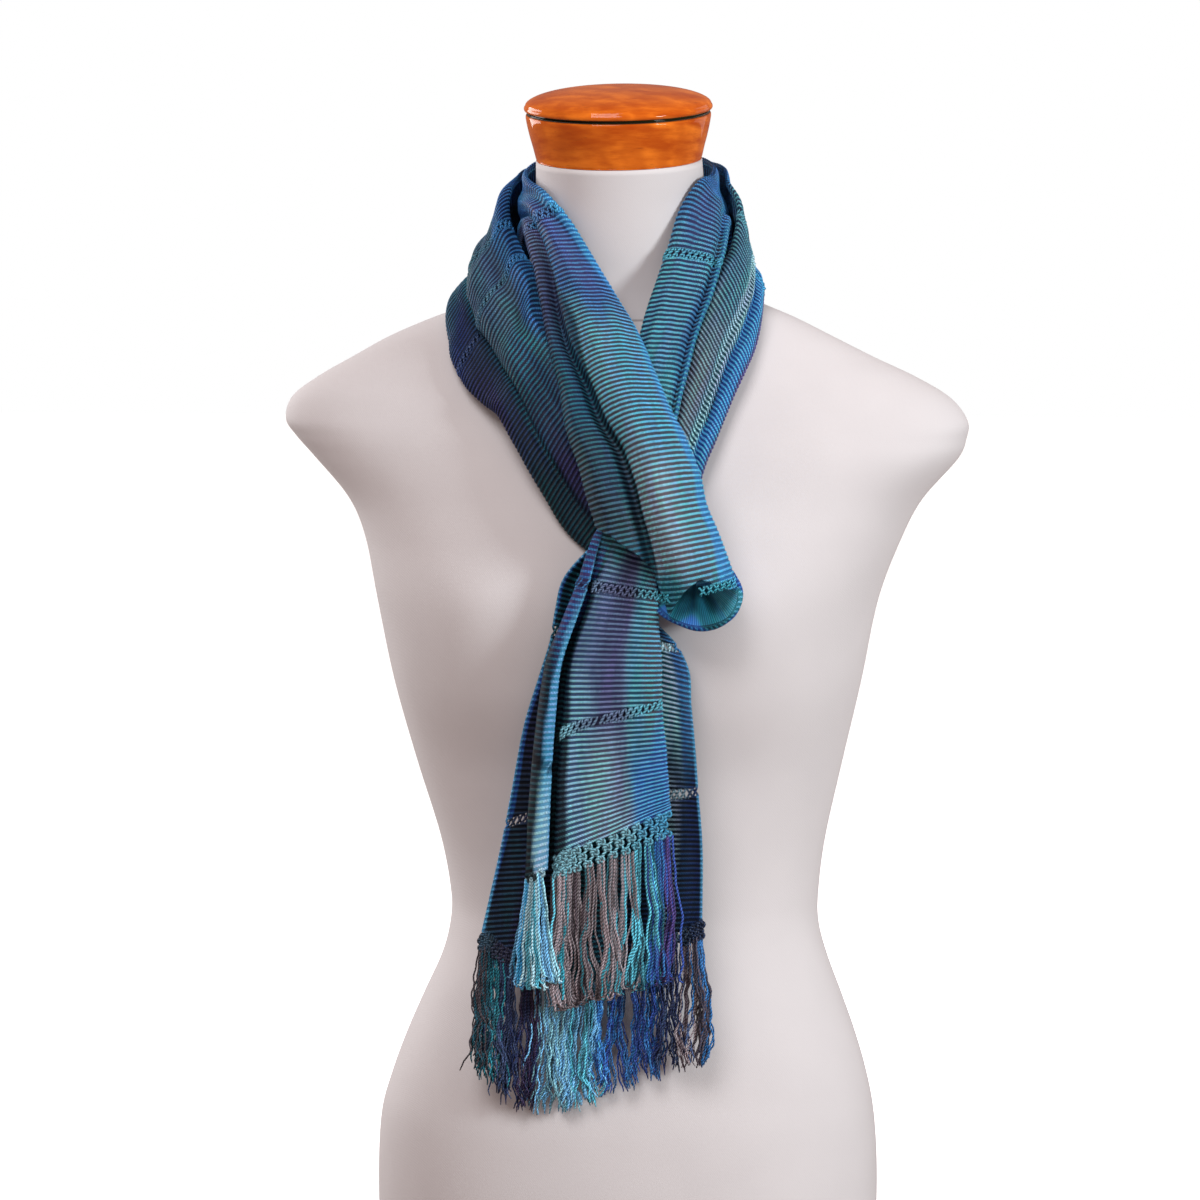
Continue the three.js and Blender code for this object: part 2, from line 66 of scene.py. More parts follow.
# height, half width, sideways shift, depth in front, depth behind, squareness
FORM_ROWS = [
    [0, 143, 0, 93, 98, 2.3],
    [30, 145, 0, 96, 106, 2.3],
    [75, 146, 0, 98, 113, 2.3],
    [110, 144, 0, 97, 113, 2.3],
    [134, 138.5, 1, 94, 109, 2.3],
    [157, 131, 2, 91, 103, 2.25],
    [180, 122, 3, 87, 96, 2.2],
    [203, 112.5, 4, 83, 88, 2.2],
    [222, 107.5, 4, 80, 82, 2.2],
    [240, 107, 4, 78, 79, 2.2],
    [273, 112, 3, 80, 79, 2.2],
    [319, 124, 1, 85, 84, 2.25],
    [365, 135.5, 0, 92, 91, 2.3],
    [412, 145, 0, 96, 98, 2.35],
    [447, 155, 3, 92, 102, 2.4],
    [470, 166, 4, 86, 103, 2.4],
    [493, 186, 4, 78, 102, 2.35],
    [505, 194, 1, 73, 99, 2.3],
    [515, 197.5, -2, 68, 96, 2.25],
    [528, 190.5, -5, 62, 92, 2.2],
    [540, 172.5, -7, 57, 88, 2.15],
    [551, 151, -9, 53, 83, 2.1],
    [563, 128, -10, 49, 77, 2.1],
    [574, 104, -8, 46, 70, 2.05],
    [585, 76, -5, 44.5, 63, 2],
    [597, 58.5, -3, 45, 56, 2],
    [612, 52, -3.5, 48, 48.5, 2],
    [636, 49, -4, 53.5, 42, 2],
]
# left edge, right edge, rise, fold profile
FRONT_HALF = [
    [2, -126, 399, 74, -128, 421, 12, 0],
    [-1, -128, 418, 72, -130, 434, 13, 0],
    [-1, -129, 432, 68, -131, 447, 14, 0],
    [-3, -129, 445, 63, -130, 459, 14, 0],
    [-6, -128, 461, 56, -128, 475, 14, 0],
    [-11, -126, 477, 52, -125, 491, 14, 0],
    [-17, -120, 496, 44, -120, 510, 13, 0],
    [-24, -112, 514, 34, -111, 527, 13, 0.3],
    [-29, -100, 536, 24, -99, 546, 12, 0.6],
    [-36, -86, 558, 14, -85, 565, 11, 1],
    [-42, -70, 579, 2, -73, 584, 10, 1],
    [-48, -54, 600, -11, -63, 606, 9, 1.5],
    [-54, -39, 616, -25, -52, 627, 8, 1.8],
    [-57, -25, 623, -42, -39, 645, 6, 2],
    [-62, 4, 614, -57, -12, 655, 4, 2], # left side of the neck
    [-62, 30, 606, -54, 16, 663, 4, 2],
    [-42, 61, 603, -36, 41, 668, 4, 2],
    [-3, 69, 603, -3, 50, 670, 4, 2], # nape
    [37, 59, 603, 30, 40, 668, 3, 2],
    [56, 30, 606, 46, 16, 663, 3, 2],
    [58, 4, 614, 48, -10, 656, 3, 2], # right side of the neck
    [59, -14, 628, 42, -29, 651, 4, 2.5],
    [59, -27, 621, 33, -39, 636, 6, 3],
    [57, -40, 605, 26, -50, 611, 7, 3],
    [52, -52, 585, 19, -60, 589, 8, 3],
    [46, -64, 566, 14, -70, 568, 8, 3],
    [41, -77, 543, 9, -82, 544, 7, 3],
    [36, -91, 516, 6, -94, 518, 6, 3],
    [31, -103, 489, 1, -104, 491, 4, 3],
    [27, -111, 463, -3, -112, 467, 4, 3.2],
    [26, -118, 441, -8, -118, 450, 4, 3.6],
    [28, -121, 425, -13, -121, 431, 5, 4],
    [29, -122, 407, -21, -122, 410, 6, 4],
    [30, -123, 385, -30, -123, 385, 7, 4],
    [30, -122, 359, -34, -122, 355, 7, 4],
    [32, -120, 332, -37, -120, 321, 7, 4],
    [33, -118, 311, -39, -118, 286, 7, 4],
    [34, -117, 303, -40, -117, 268, 7, 4], # end of the cloth
    [34, -117, 282, -41, -117, 246, 7, 4],
]
BACK_HALF = [
    [23, -103, 417, 54, -104, 444, 2, 0],
    [6, -100, 431, 39, -100, 464, 3, 0],
    [-10, -98, 443, 21, -97, 483, 4, 0],
    [-24, -96, 455, 6, -94, 501, 5, 0],
    [-35, -95, 472, -7, -90, 519, 7, 0],
    [-47, -93, 492, -18, -84, 537, 9, 0],
    [-56, -89, 507, -27, -75, 550, 11, 0.2],
    [-66, -83, 522, -36, -65, 566, 13, 0.5],
    [-76, -75, 529, -43, -51, 582, 14, 1],
    [-87, -67, 538, -47, -40, 599, 14, 1],
    [-94, -58, 548, -57, -25, 610, 13, 1],
    [-99, -47, 561, -66, -14, 629, 10, 1],
    [-103, -26, 579, -67, -5, 648, 7, 1.5],
    [-93, 8, 589, -65, 8, 655, 4, 2], # left side of the neck
    [-87, 42, 581, -61, 28, 660, 4, 2],
    [-56, 78, 573, -42, 54, 665, 5, 2],
    [-3, 90, 568, -3, 60, 667, 5, 2], # nape
    [50, 76, 573, 37, 53, 665, 4, 2],
    [72, 42, 581, 53, 28, 660, 3, 2],
    [77, 8, 588, 57, 6, 652, 3, 2], # right side of the neck
    [80, -15, 590, 64, -6, 638, 4, 2.5],
    [80, -39, 573, 61, -20, 613, 7, 3],
    [77, -52, 556, 54, -33, 601, 8, 3],
    [72, -63, 544, 48, -45, 582, 8, 3],
    [65, -72, 527, 43, -58, 562, 8, 3],
    [59, -81, 511, 38, -69, 541, 7, 3],
    [53, -90, 495, 34, -81, 521, 6, 3],
    [48, -97, 477, 30, -92, 500, 4, 3],
    [46, -104, 459, 24, -102, 480, 4, 3.3],
    [40, -108, 441, 6, -107, 461, 4, 3.6],
    [28, -109, 427, -8, -110, 450, 4, 4],
    [24, -110, 411, -24, -111, 432, 5, 4],
    [38, -110, 395, -29, -111, 414, 5, 4],
    [45, -110, 380, -32, -110, 397, 5, 4],
    [46, -109, 362, -38, -109, 378, 5, 4],
    [48, -107, 339, -47, -107, 349, 6, 4],
    [50, -106, 311, -54, -105, 313, 7, 4],
    [52, -104, 281, -61, -104, 278, 7, 4],
    [52, -104, 242, -71, -104, 234, 7, 4], # end of the cloth at its corners
    [52, -104, 215, -77, -104, 207, 7, 4],
    [52, -104, 189, -80, -104, 182, 7, 4],
]
FRONT_PROFILES = [
    # two rolls with a deep crease between them
    [[-0.5, -0.3], [-0.88, -0.3], [-1, 0.05], [-0.72, 0.62], [-0.38, 0.45], [-0.2, -0.15],
      [-0.05, 0.55], [0.3, 1], [0.75, 0.8], [1, 0.1], [0.86, -0.3], [0.4, -0.3]],
    # a narrow low roll beside a broad one
    [[-0.6, -0.45], [-0.9, -0.5], [-1, -0.2], [-0.9, 0.1], [-0.72, -0.05], [-0.6, -0.3],
      [-0.45, 0.45], [0.1, 1], [0.65, 0.85], [1, 0.1], [0.86, -0.4], [0.4, -0.4]],
    # a band standing round the neck
    [[-0.8, -0.3], [-0.97, -0.2], [-1, 0.1], [-0.8, 0.5], [-0.55, 0.8], [-0.3, 0.3],
      [-0.05, 0.8], [0.25, 1], [0.55, 0.4], [0.85, 0.6], [1, 0.15], [0.88, -0.2]],
    # a flat arch with its outer selvage folded over
    [[-0.6, -0.35], [-0.92, -0.2], [-1, 0.25], [-0.88, 0.6], [-0.74, 0.1], [-0.55, 0.7],
      [-0.2, 0.95], [0.2, 1], [0.6, 0.85], [0.92, 0.4], [1, -0.1], [0.8, -0.5]],
    # a hanging panel with a pleat at its free side, the selvage in front
    [[-0.8, -0.8], [-0.97, -0.45], [-1, 0], [-0.6, 0.25], [-0.1, 0.3], [0.4, 0.25],
      [0.68, 0.05], [0.74, -0.7], [0.95, -0.95], [1.12, -0.5], [1, 0.25], [0.8, 0.55]],
]
BACK_PROFILES = [
    # flat under the crossing, with a flap at its outer side
    [[-0.8, -0.6], [-1, -0.2], [-0.85, 0.35], [-0.6, 0.4], [-0.45, 0.2], [-0.3, 0.7],
      [0, 0.9], [0.3, 0.7], [0.55, 1], [0.85, 0.7], [1, 0.1], [0.85, -0.5]],
    # an overlapping fold that stands proud of the flap at the shoulder
    [[-0.8, -0.6], [-1, -0.35], [-0.85, -0.05], [-0.45, 0], [-0.14, -0.2], [-0.3, 0.35],
      [-0.08, 0.8], [0.2, 0.85], [0.45, 0.65], [0.8, 0.9], [1, 0.15], [0.88, -0.2]],
    # a band standing round the neck
    [[-0.85, -0.7], [-1, -0.35], [-0.9, 0.1], [-0.68, -0.5], [-0.42, -1.2], [-0.15, -0.7],
      [0.1, -0.4], [0.35, -1.1], [0.6, -0.3], [0.85, 0.25], [1, 0], [0.88, -0.5]],
    # three ridges side by side
    [[-0.75, -0.6], [-1, -0.2], [-0.9, 0.3], [-0.65, 0.5], [-0.42, 0.05], [-0.28, 0.6],
      [-0.1, 0.35], [0.15, 0.85], [0.5, 1], [0.85, 0.7], [1, 0.1], [0.85, -0.45]],
    # a hanging panel with long soft waves, its free side brought forward
    [[-1, 0.3], [-0.9, 0.15], [-0.65, -0.05], [-0.4, -0.3], [-0.15, -0.6], [0.05, -0.2],
      [0.2, -0.6], [0.42, -0.8], [0.62, -0.5], [0.8, -0.2], [0.92, 0.1], [1, 0.4]],
]
# where each point across the front half ends at the mouth of the loop
LOOP_FRONT_END = [4.2, 4.15, 4.1, 4.05, 4, 3.8, 3.6, 3.2, 2.8, 2.4, 2, 1.2, 0.3, 0.7, 1.1, 1.4, 0.95, 0.65,
                  0.55, 0.5, 0.55, 0.8, 1]
# where each point across the front end stops at its knotted heading
FRONT_END_HEM = [37.05, 37.05, 37, 36.95, 36.85, 36.75, 36.75, 36.9, 37.05, 37.05, 37.05]
# rim of the mouth as seen in the photograph: place in the picture, and depth
MOUTH_RIM = [(722, 566, -117), (731, 576, -123), (737, 589, -129), (737, 603, -132), (729, 617, -133),
             (714, 625, -132), (697, 627, -131), (681, 623, -130), (667, 616, -127), (657, 606, -119)]
MOUTH_HEART = (697, 575, -104)
MOUTH_MIDDLE = (704, 604, -124)
BACK_END_HEM = [38, 38.1, 38.3, 38.6, 38.85, 38.9, 38.9, 38.8, 38.6, 38.3, 38.1, 38]


# Dyes, in sRGB; the darkest also serve as painted shade in some bands
DYES = {
    "turquoise": (78, 166, 188),
    "bright": (58, 150, 196),
    "teal": (40, 128, 146),
    "deep teal": (14, 66, 82),
    "green": (28, 88, 90),
    "sky": (104, 168, 210),
    "blue": (42, 104, 164),
    "royal": (36, 66, 140),
    "navy": (20, 32, 70),
    "purple": (62, 50, 108),
    "mauve": (88, 82, 136),
    "dusk": (74, 98, 148),
    "plum": (40, 28, 60),
    "brown": (66, 58, 66),
    "taupe": (124, 115, 121),
    "mist": (124, 184, 200),
    "denim": (50, 68, 104),
    "lilac": (88, 86, 128),
    "smoke": (80, 76, 94),
    "fawn": (98, 84, 92),
    "pine": (12, 36, 40),
    "petrol": (26, 94, 114),
    "murk": (74, 98, 110),
    "well": (30, 108, 128),
    "grey": (104, 132, 144),
    "slate": (42, 56, 72),
    "black": (10, 14, 24),
    "pale": (158, 196, 208),
    "selvage": (70, 140, 180),
}


def linear(rgb):
    c = np.array(rgb, float) / 255
    return np.where(c <= 0.04045, c / 12.92, ((c + 0.055) / 1.055) ** 2.4)


DYES = {name: linear(rgb) for name, rgb in DYES.items()}


# Interpolation
def smooth(values, at):
    """Through the values at 0, 1, 2..., smoothly. values is (n, ...), at has any shape."""
    values, at = np.asarray(values, float), np.asarray(at, float)
    last = len(values) - 1
    i = np.clip(np.floor(at).astype(int), 0, last - 1)
    wide = at.shape + (1,) * (values.ndim - 1)
    t, first, final = (at - i).reshape(wide), (i > 0).reshape(wide), (i < last - 1).reshape(wide)
    a, b = values[i], values[i + 1]
    slope_a = np.where(first, (b - values[np.maximum(i - 1, 0)]) / 2, b - a)
    slope_b = np.where(final, (values[np.minimum(i + 2, last)] - a) / 2, b - a)
    h = t * t * (3 - 2 * t)
    return a * (1 - h) + b * h + slope_a * t * (1 - t) ** 2 - slope_b * t * t * (1 - t)


def straight(values, at):
    return np.interp(at, np.arange(len(values)), values)


def step(x, low, high):
    t = np.clip((x - low) / (high - low), 0, 1)
    return t * t * (3 - 2 * t)


def unit(v):
    return v / np.maximum(np.linalg.norm(v, axis=-1, keepdims=True), 1e-12)


def seen(px, py, y):
    """The point at depth y (mm) that the photograph's camera sees at a pixel of its picture."""
    back = np.array(TO_CAMERA)
    eye = (np.array(TARGET) + back * DISTANCE) * 1000
    right = np.array([math.cos(AZIMUTH), math.sin(AZIMUTH), 0])
    up = np.cross(back, right)
    half = PICTURE / 2
    ray = -back + ((px - half) * right - (py - half) * up) / PICTURE * SENSOR / LENS
    return eye + ray * (y - eye[1]) / ray[1]


class Cloth:
    def __init__(self, rows, profiles):
        self.rows = np.array(rows, float)
        self.profiles = np.array(profiles, float)
        self.v = np.arange(0, len(rows) - 1 + 1e-9, 0.02)

    def middle(self, v):
        return (smooth(self.rows[:, :3], v) + smooth(self.rows[:, 3:6], v)) / 2

    def point(self, u, v):
        u, v = np.broadcast_arrays(np.asarray(u, float), np.asarray(v, float))
        left, right = smooth(self.rows[:, :3], v), smooth(self.rows[:, 3:6], v)
        half = np.linalg.norm(right - left, axis=-1, keepdims=True) / 2
        side = unit(right - left)
        out = unit(np.cross(side, self.middle(v + 0.05) - self.middle(v - 0.05)))
        shape = straight(self.rows[:, 7], v)
        rise = smooth(self.rows[:, 6], v)[..., None]
        found = np.stack([smooth(p, u * (len(p) - 1)) for p in self.profiles])
        low = np.minimum(np.floor(shape).astype(int), len(found) - 1)
        high = np.minimum(low + 1, len(found) - 1)
        mix = (shape - np.floor(shape))[..., None]
        pick = lambda k: np.take_along_axis(found, k[None, ..., None], 0)[0]
        value = pick(low) * (1 - mix) + pick(high) * mix
        return (left + right) / 2 + side * value[..., :1] * half + out * value[..., 1:] * rise

    def normal(self, u, v):
        over = self.point(u + 0.004, v) - self.point(u - 0.004, v)
        along = self.point(u, v + 0.05) - self.point(u, v - 0.05)
        return unit(np.cross(over, along))

    def measure(self):
        """The mean length along the cloth up to each of its fine rows."""
        grid = self.point(np.linspace(0, 1, 61)[None, :], self.v[:, None])
        lengths = np.linalg.norm(np.diff(grid, axis=0), axis=-1).mean(1)
        self.s = np.concatenate([[0], np.cumsum(lengths)])

    def along(self, v):
        return np.interp(v, self.v, self.s)

    def row(self, s):
        return np.interp(s, self.s, self.v)


class Mouth(Cloth):
    """The hollow end of the loop: from its heart out to the rim, over the rolled lip and back."""

    LIP, TAIL, TAPER = 2.6, 15, 3.5

    def __init__(self):
        self.rim = np.array([seen(*p) for p in MOUTH_RIM])
        self.heart, self.centre = seen(*MOUTH_HEART), seen(*MOUTH_MIDDLE)
        self.v = np.arange(0, 3.001, 0.02)

    def point(self, u, v):
        u, v = np.broadcast_arrays(np.asarray(u, float), np.asarray(v, float))
        rim = smooth(self.rim, u * (len(self.rim) - 1))
        start = self.heart + 0.03 * (rim - self.centre)
        w = np.clip(v, 0, 1)
        p = start + (rim - start) * w[..., None]
        p[..., 1] = start[..., 1] + (rim - start)[..., 1] * w**0.75
        p[..., 1] += np.sin(np.pi * w) * (1.5 * np.sin(14 * u + 1.2) + 0.8 * np.sin(27 * u))
        out = unit((rim - self.centre) * (1, 0, 1))
        turn = np.clip(v - 1, 0, 1)[..., None] * math.pi * 0.85
        p = p + out * self.LIP * np.sin(turn) + np.array([0, self.LIP, 0]) * (1 - np.cos(turn))
        far = np.clip(v - 2, 0, 1)[..., None]
        return p + np.array([0, self.TAIL, 0]) * far - out * self.TAPER * far


# Meshes
def build(name, verts, faces, materials, attributes=(), spans=None):
    """verts in millimetres, faces a list of index arrays of 3 or 4 columns."""
    mesh = bpy.data.meshes.new(name)
    loops = np.concatenate([f.ravel() for f in faces]).astype(np.int32)
    sizes = np.concatenate([np.full(len(f), f.shape[1]) for f in faces])
    mesh.vertices.add(len(verts))
    mesh.vertices.foreach_set("co", (np.asarray(verts) / 1000).astype(np.float32).ravel())
    mesh.loops.add(len(loops))
    mesh.loops.foreach_set("vertex_index", loops)
    mesh.polygons.add(len(sizes))
    starts = np.concatenate([[0], np.cumsum(sizes)[:-1]]).astype(np.int32)
    mesh.polygons.foreach_set("loop_start", starts)
    for m in materials:
        mesh.materials.append(m)
    if spans is not None:
        mesh.polygons.foreach_set("material_index", np.asarray(spans, np.int32))
    mesh.update(calc_edges=True)
    mesh.polygons.foreach_set("use_smooth", np.ones(len(sizes), bool))
    for key, data in attributes:
        data = np.asarray(data, np.float32)
        if data.ndim == 1:
            kind, field = "FLOAT", "value"
        elif key in ("tint", "shade"):
            kind, field = "FLOAT_COLOR", "color"
            data = np.concatenate([data, np.ones((len(data), 1), np.float32)], 1)
        else:
            kind, field = "FLOAT_VECTOR", "vector"
        made = mesh.attributes.new(key, kind, "POINT")
        made.data.foreach_set(field, data.ravel())
    mesh.update()
    obj = bpy.data.objects.new(name, mesh)
    bpy.context.scene.collection.objects.link(obj)
    return obj


def rim(outer, inner, idx, flip):
    """Triangles between a fine edge and a coarse one that shares every idx-th point."""
    tris = []
    for k in range(len(idx) - 1):
        a, b = idx[k], idx[k + 1]
        mid = (a + b) // 2
        for j in range(a, b):
            tris.append((outer[j + 1], outer[j], inner[k] if j < mid else inner[k + 1]))
        tris.append((inner[k], inner[k + 1], outer[mid]))
    tris = np.array(tris)
    return tris[:, ::-1] if flip else tris


def picks(count, every):
    found = list(range(0, count, every))
    return found if found[-1] == count - 1 else found + [count - 1]


WOVEN_SLOT, YARN_SLOT = 0, 1


class Parts:
    """Vertices, faces and attributes of one piece, gathered from its bands and yarns."""

    def __init__(self):
        self.verts, self.faces = [], {4: [], 3: []}
        self.data = {"tint": [], "shade": [], "weave": []}
        self.count = 0

    def add(self, verts, quads, tris, tint, shade, weave, slot=WOVEN_SLOT):
        self.verts.append(verts)
        for faces in (quads, tris):
            self.faces[faces.shape[1]].append((faces + self.count, np.full(len(faces), slot)))
        for key, value in (("tint", tint), ("shade", shade), ("weave", weave)):
            self.data[key].append(np.broadcast_to(value, (len(verts), 3)))
        self.count += len(verts)

    def object(self, name):
        faces, slots = zip(*(map(np.concatenate, zip(*found)) for found in self.faces.values()))
        attributes = [(k, np.concatenate(v)) for k, v in self.data.items()]
        return build(name, np.concatenate(self.verts), faces, [WOVEN, YARN], attributes,
                     np.concatenate(slots))


def grid_quads(rows, cols, start, flip=False):
    i, j = np.meshgrid(np.arange(rows - 1), np.arange(cols - 1), indexing="ij")
    a = (start + i * cols + j).ravel()
    quads = np.stack([a, a + 1, a + cols + 1, a + cols], 1)
    return quads[:, ::-1] if flip else quads


def shell(parts, outer, inner, tint, shade, weave, every=(4, 2)):
    """A closed wall: a fine outer grid, and a coarser inner one at the same points."""
    m, n = outer.shape[:2]
    ri, ci = picks(m, every[0]), picks(n, every[1])
    thin = lambda g: g[np.ix_(ri, ci)].reshape(-1, g.shape[-1])
    full = lambda g: g.reshape(-1, g.shape[-1])
    start = m * n
    o = np.arange(m * n).reshape(m, n)
    q = start + np.arange(len(ri) * len(ci)).reshape(len(ri), len(ci))
    quads = np.concatenate([grid_quads(m, n, 0), grid_quads(len(ri), len(ci), start, True)])
    tris = np.concatenate([
        rim(o[0], q[0], ci, False), rim(o[-1], q[-1], ci, True),
        rim(o[:, 0], q[:, 0], ri, True), rim(o[:, -1], q[:, -1], ri, False),
    ])
    join = lambda a, b: np.concatenate([full(a), thin(b)])
    parts.add(join(outer, inner), quads, tris, join(tint, tint), join(shade, shade), join(weave, weave))


def tubes(parts, paths, radii, tint, shade, sides=6):
    """Yarns: paths (k, n, 3), radii (n,) or (k, n), tint and shade (k, n, 3) or (k, 1, 3)."""
    k, n = paths.shape[:2]
    radii = np.broadcast_to(radii, (k, n))
    along = unit(np.gradient(paths, axis=1))
    aside = unit(np.cross(along, np.array([0.31, 0.9, 0.17])))
    up = np.cross(aside, along)
    angle = 2 * np.pi * np.arange(sides) / sides
    x, y = np.cos(angle), np.sin(angle)
    ring = aside[:, :, None] * x[:, None] + up[:, :, None] * y[:, None]
    verts = paths[:, :, None] + ring * radii[:, :, None, None]
    gaps = np.linalg.norm(np.diff(paths, axis=1), axis=-1)
    gone = np.concatenate([np.zeros((k, 1)), np.cumsum(gaps, 1)], 1)
    weave = np.stack(np.broadcast_arrays(x, gone[:, :, None], y), -1)
    a = np.arange(k)[:, None, None] * (n * sides) + np.arange(n - 1)[None, :, None] * sides
    j = np.arange(sides)[None, None, :]
    b = (j + 1) % sides
    quads = np.stack([a + j, a + sides + j, a + sides + b, a + b], -1).reshape(-1, 4)
    tip = np.arange(k) * (n * sides)
    top = tip + (n - 1) * sides
    caps = []
    for c in range(1, sides - 1):
        caps += [np.stack([tip, tip + c, tip + c + 1], 1), np.stack([top, top + c + 1, top + c], 1)]
    spread = lambda value: np.broadcast_to(value[:, :, None], (k, n, sides, 3)).reshape(-1, 3)
    parts.add(verts.reshape(-1, 3), quads, np.concatenate(caps), spread(tint), spread(shade),
              weave.reshape(-1, 3), YARN_SLOT)


def stacked(rows, sides):
    """Faces of a stack of rings, closed by two points that follow them: the lowest and the highest."""
    i, k = np.meshgrid(np.arange(rows - 1), np.arange(sides), indexing="ij")
    a, b = i * sides + k, i * sides + (k + 1) % sides
    quads = np.stack([a, b, b + sides, a + sides], -1).reshape(-1, 4)
    k = np.arange(sides)
    after, low, top = (k + 1) % sides, np.full(sides, rows * sides), (rows - 1) * sides
    ends = [np.stack([low, after, k], 1), np.stack([low + 1, top + k, top + after], 1)]
    return [quads, np.concatenate(ends)]


def stand_in(obj, node):
    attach(obj, "root")
    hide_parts(node)
    return obj


# Colour of the cloth: its dyes, and painted shade in the bands marked so
# from row, to row, from and to across (0 the left edge, 1 the right), softness in rows and across,
# light dye, dark dye, strength
FRONT_DYES_AND_SHADE = [
    (-2, 45, -1, 2, 1, 0.1, "turquoise", "brown", 1),
    (-2, 1.6, 0.35, 2, 1.2, 0.1, "teal", "deep teal", 0.9),
    (2.0, 5.6, 0.45, 0.68, 1.5, 0.1, "mist", "fawn", 0.9),
    (5.5, 9.5, 0.62, 0.8, 1.5, 0.1, "bright", "slate", 0.55),
    (9.6, 15, 0.4, 1.1, 1.8, 0.15, "blue", "navy", 0.85),
    (10.6, 13, 0.5, 0.75, 1.4, 0.16, "dusk", "purple", 0.5),
    (-2, 3.4, -1, 0.42, 1.5, 0.04, "petrol", "slate", 0.8),
    (3.2, 7.4, -1, 0.44, 1.5, 0.03, "murk", "black", 0.85),
    (4.6, 7, 0.2, 0.36, 1.5, 0.1, "petrol", "navy", 0.5),
    (7, 10.5, -1, 0.44, 1.3, 0.03, "petrol", "navy", 0.85),
    (9.2, 13.6, -1, 0.42, 1.4, 0.08, "mauve", "plum", 0.75),
    (0.8, 13, 0.79, 2, 1, 0.02, "bright", "blue", 0.8),
    # painted shade: the crease between the two rolls, darkened
    (1.5, 9.5, 0.43, 0.465, 1.5, 0.02, "deep teal", "black", 0.85),
    (13.4, 20.6, -1, 2, 1, 0.1, "blue", "navy", 0.9),
    (15, 18.5, 0.3, 0.7, 1, 0.14, "dusk", "purple", 0.6),
    (20, 22.8, -1, 2, 1, 0.1, "blue", "navy", 0.8),
    (21, 23.6, 0.45, 0.75, 0.8, 0.16, "dusk", "purple", 0.5),
    (22.4, 26.4, 0.3, 2, 1, 0.12, "turquoise", "navy", 0.7),
    (23.4, 26, 0.2, 0.45, 1, 0.12, "blue", "navy", 0.6),
    (26, 30, 0.3, 2, 1.2, 0.1, "turquoise", "green", 0.6),
    (22, 30.5, -1, 0.26, 1, 0.03, "teal", "blue", 0.8),
    (30, 38, 0.2, 0.66, 1.2, 0.08, "mist", "denim", 0.9),
    (30, 33.4, 0.3, 0.66, 1.2, 0.08, "lilac", "denim", 0.75),
    (30.2, 35.2, 0.3, 0.48, 1.6, 0.1, "lilac", "plum", 0.75),
    (34.4, 38, 0.3, 0.52, 1, 0.1, "mist", "smoke", 0.8),
    (33, 36.6, 0.3, 0.37, 1.6, 0.08, "lilac", "plum", 0.5),
    (30.2, 35.4, 0.2, 0.29, 1.6, 0.06, "turquoise", "deep teal", 0.7),
    (34.4, 38, -1, 0.28, 1, 0.05, "bright", "royal", 0.85),
    (30.5, 38, 0.62, 2, 1, 0.03, "pine", "black", 0.95),
    (29.6, 32.4, 0.72, 2, 1.2, 0.05, "blue", "purple", 0.9),
    (32, 38, 0.955, 2, 1, 0.012, "sky", "bright", 0.95),
    (35.2, 38, 0.935, 2, 1.5, 0.015, "pale", "sky", 0.95),
    # painted shade: the left-facing roll beside the crease, darkened further
    (1, 11, -1, 0.44, 1.5, 0.03, "deep teal", "black", 0.45),
    (20.5, 29, 0.3, 2, 1.5, 0.1, "petrol", "navy", 0.3),
    (29.5, 35, -1, 2, 1, 0.1, "petrol", "navy", 0.15),
]
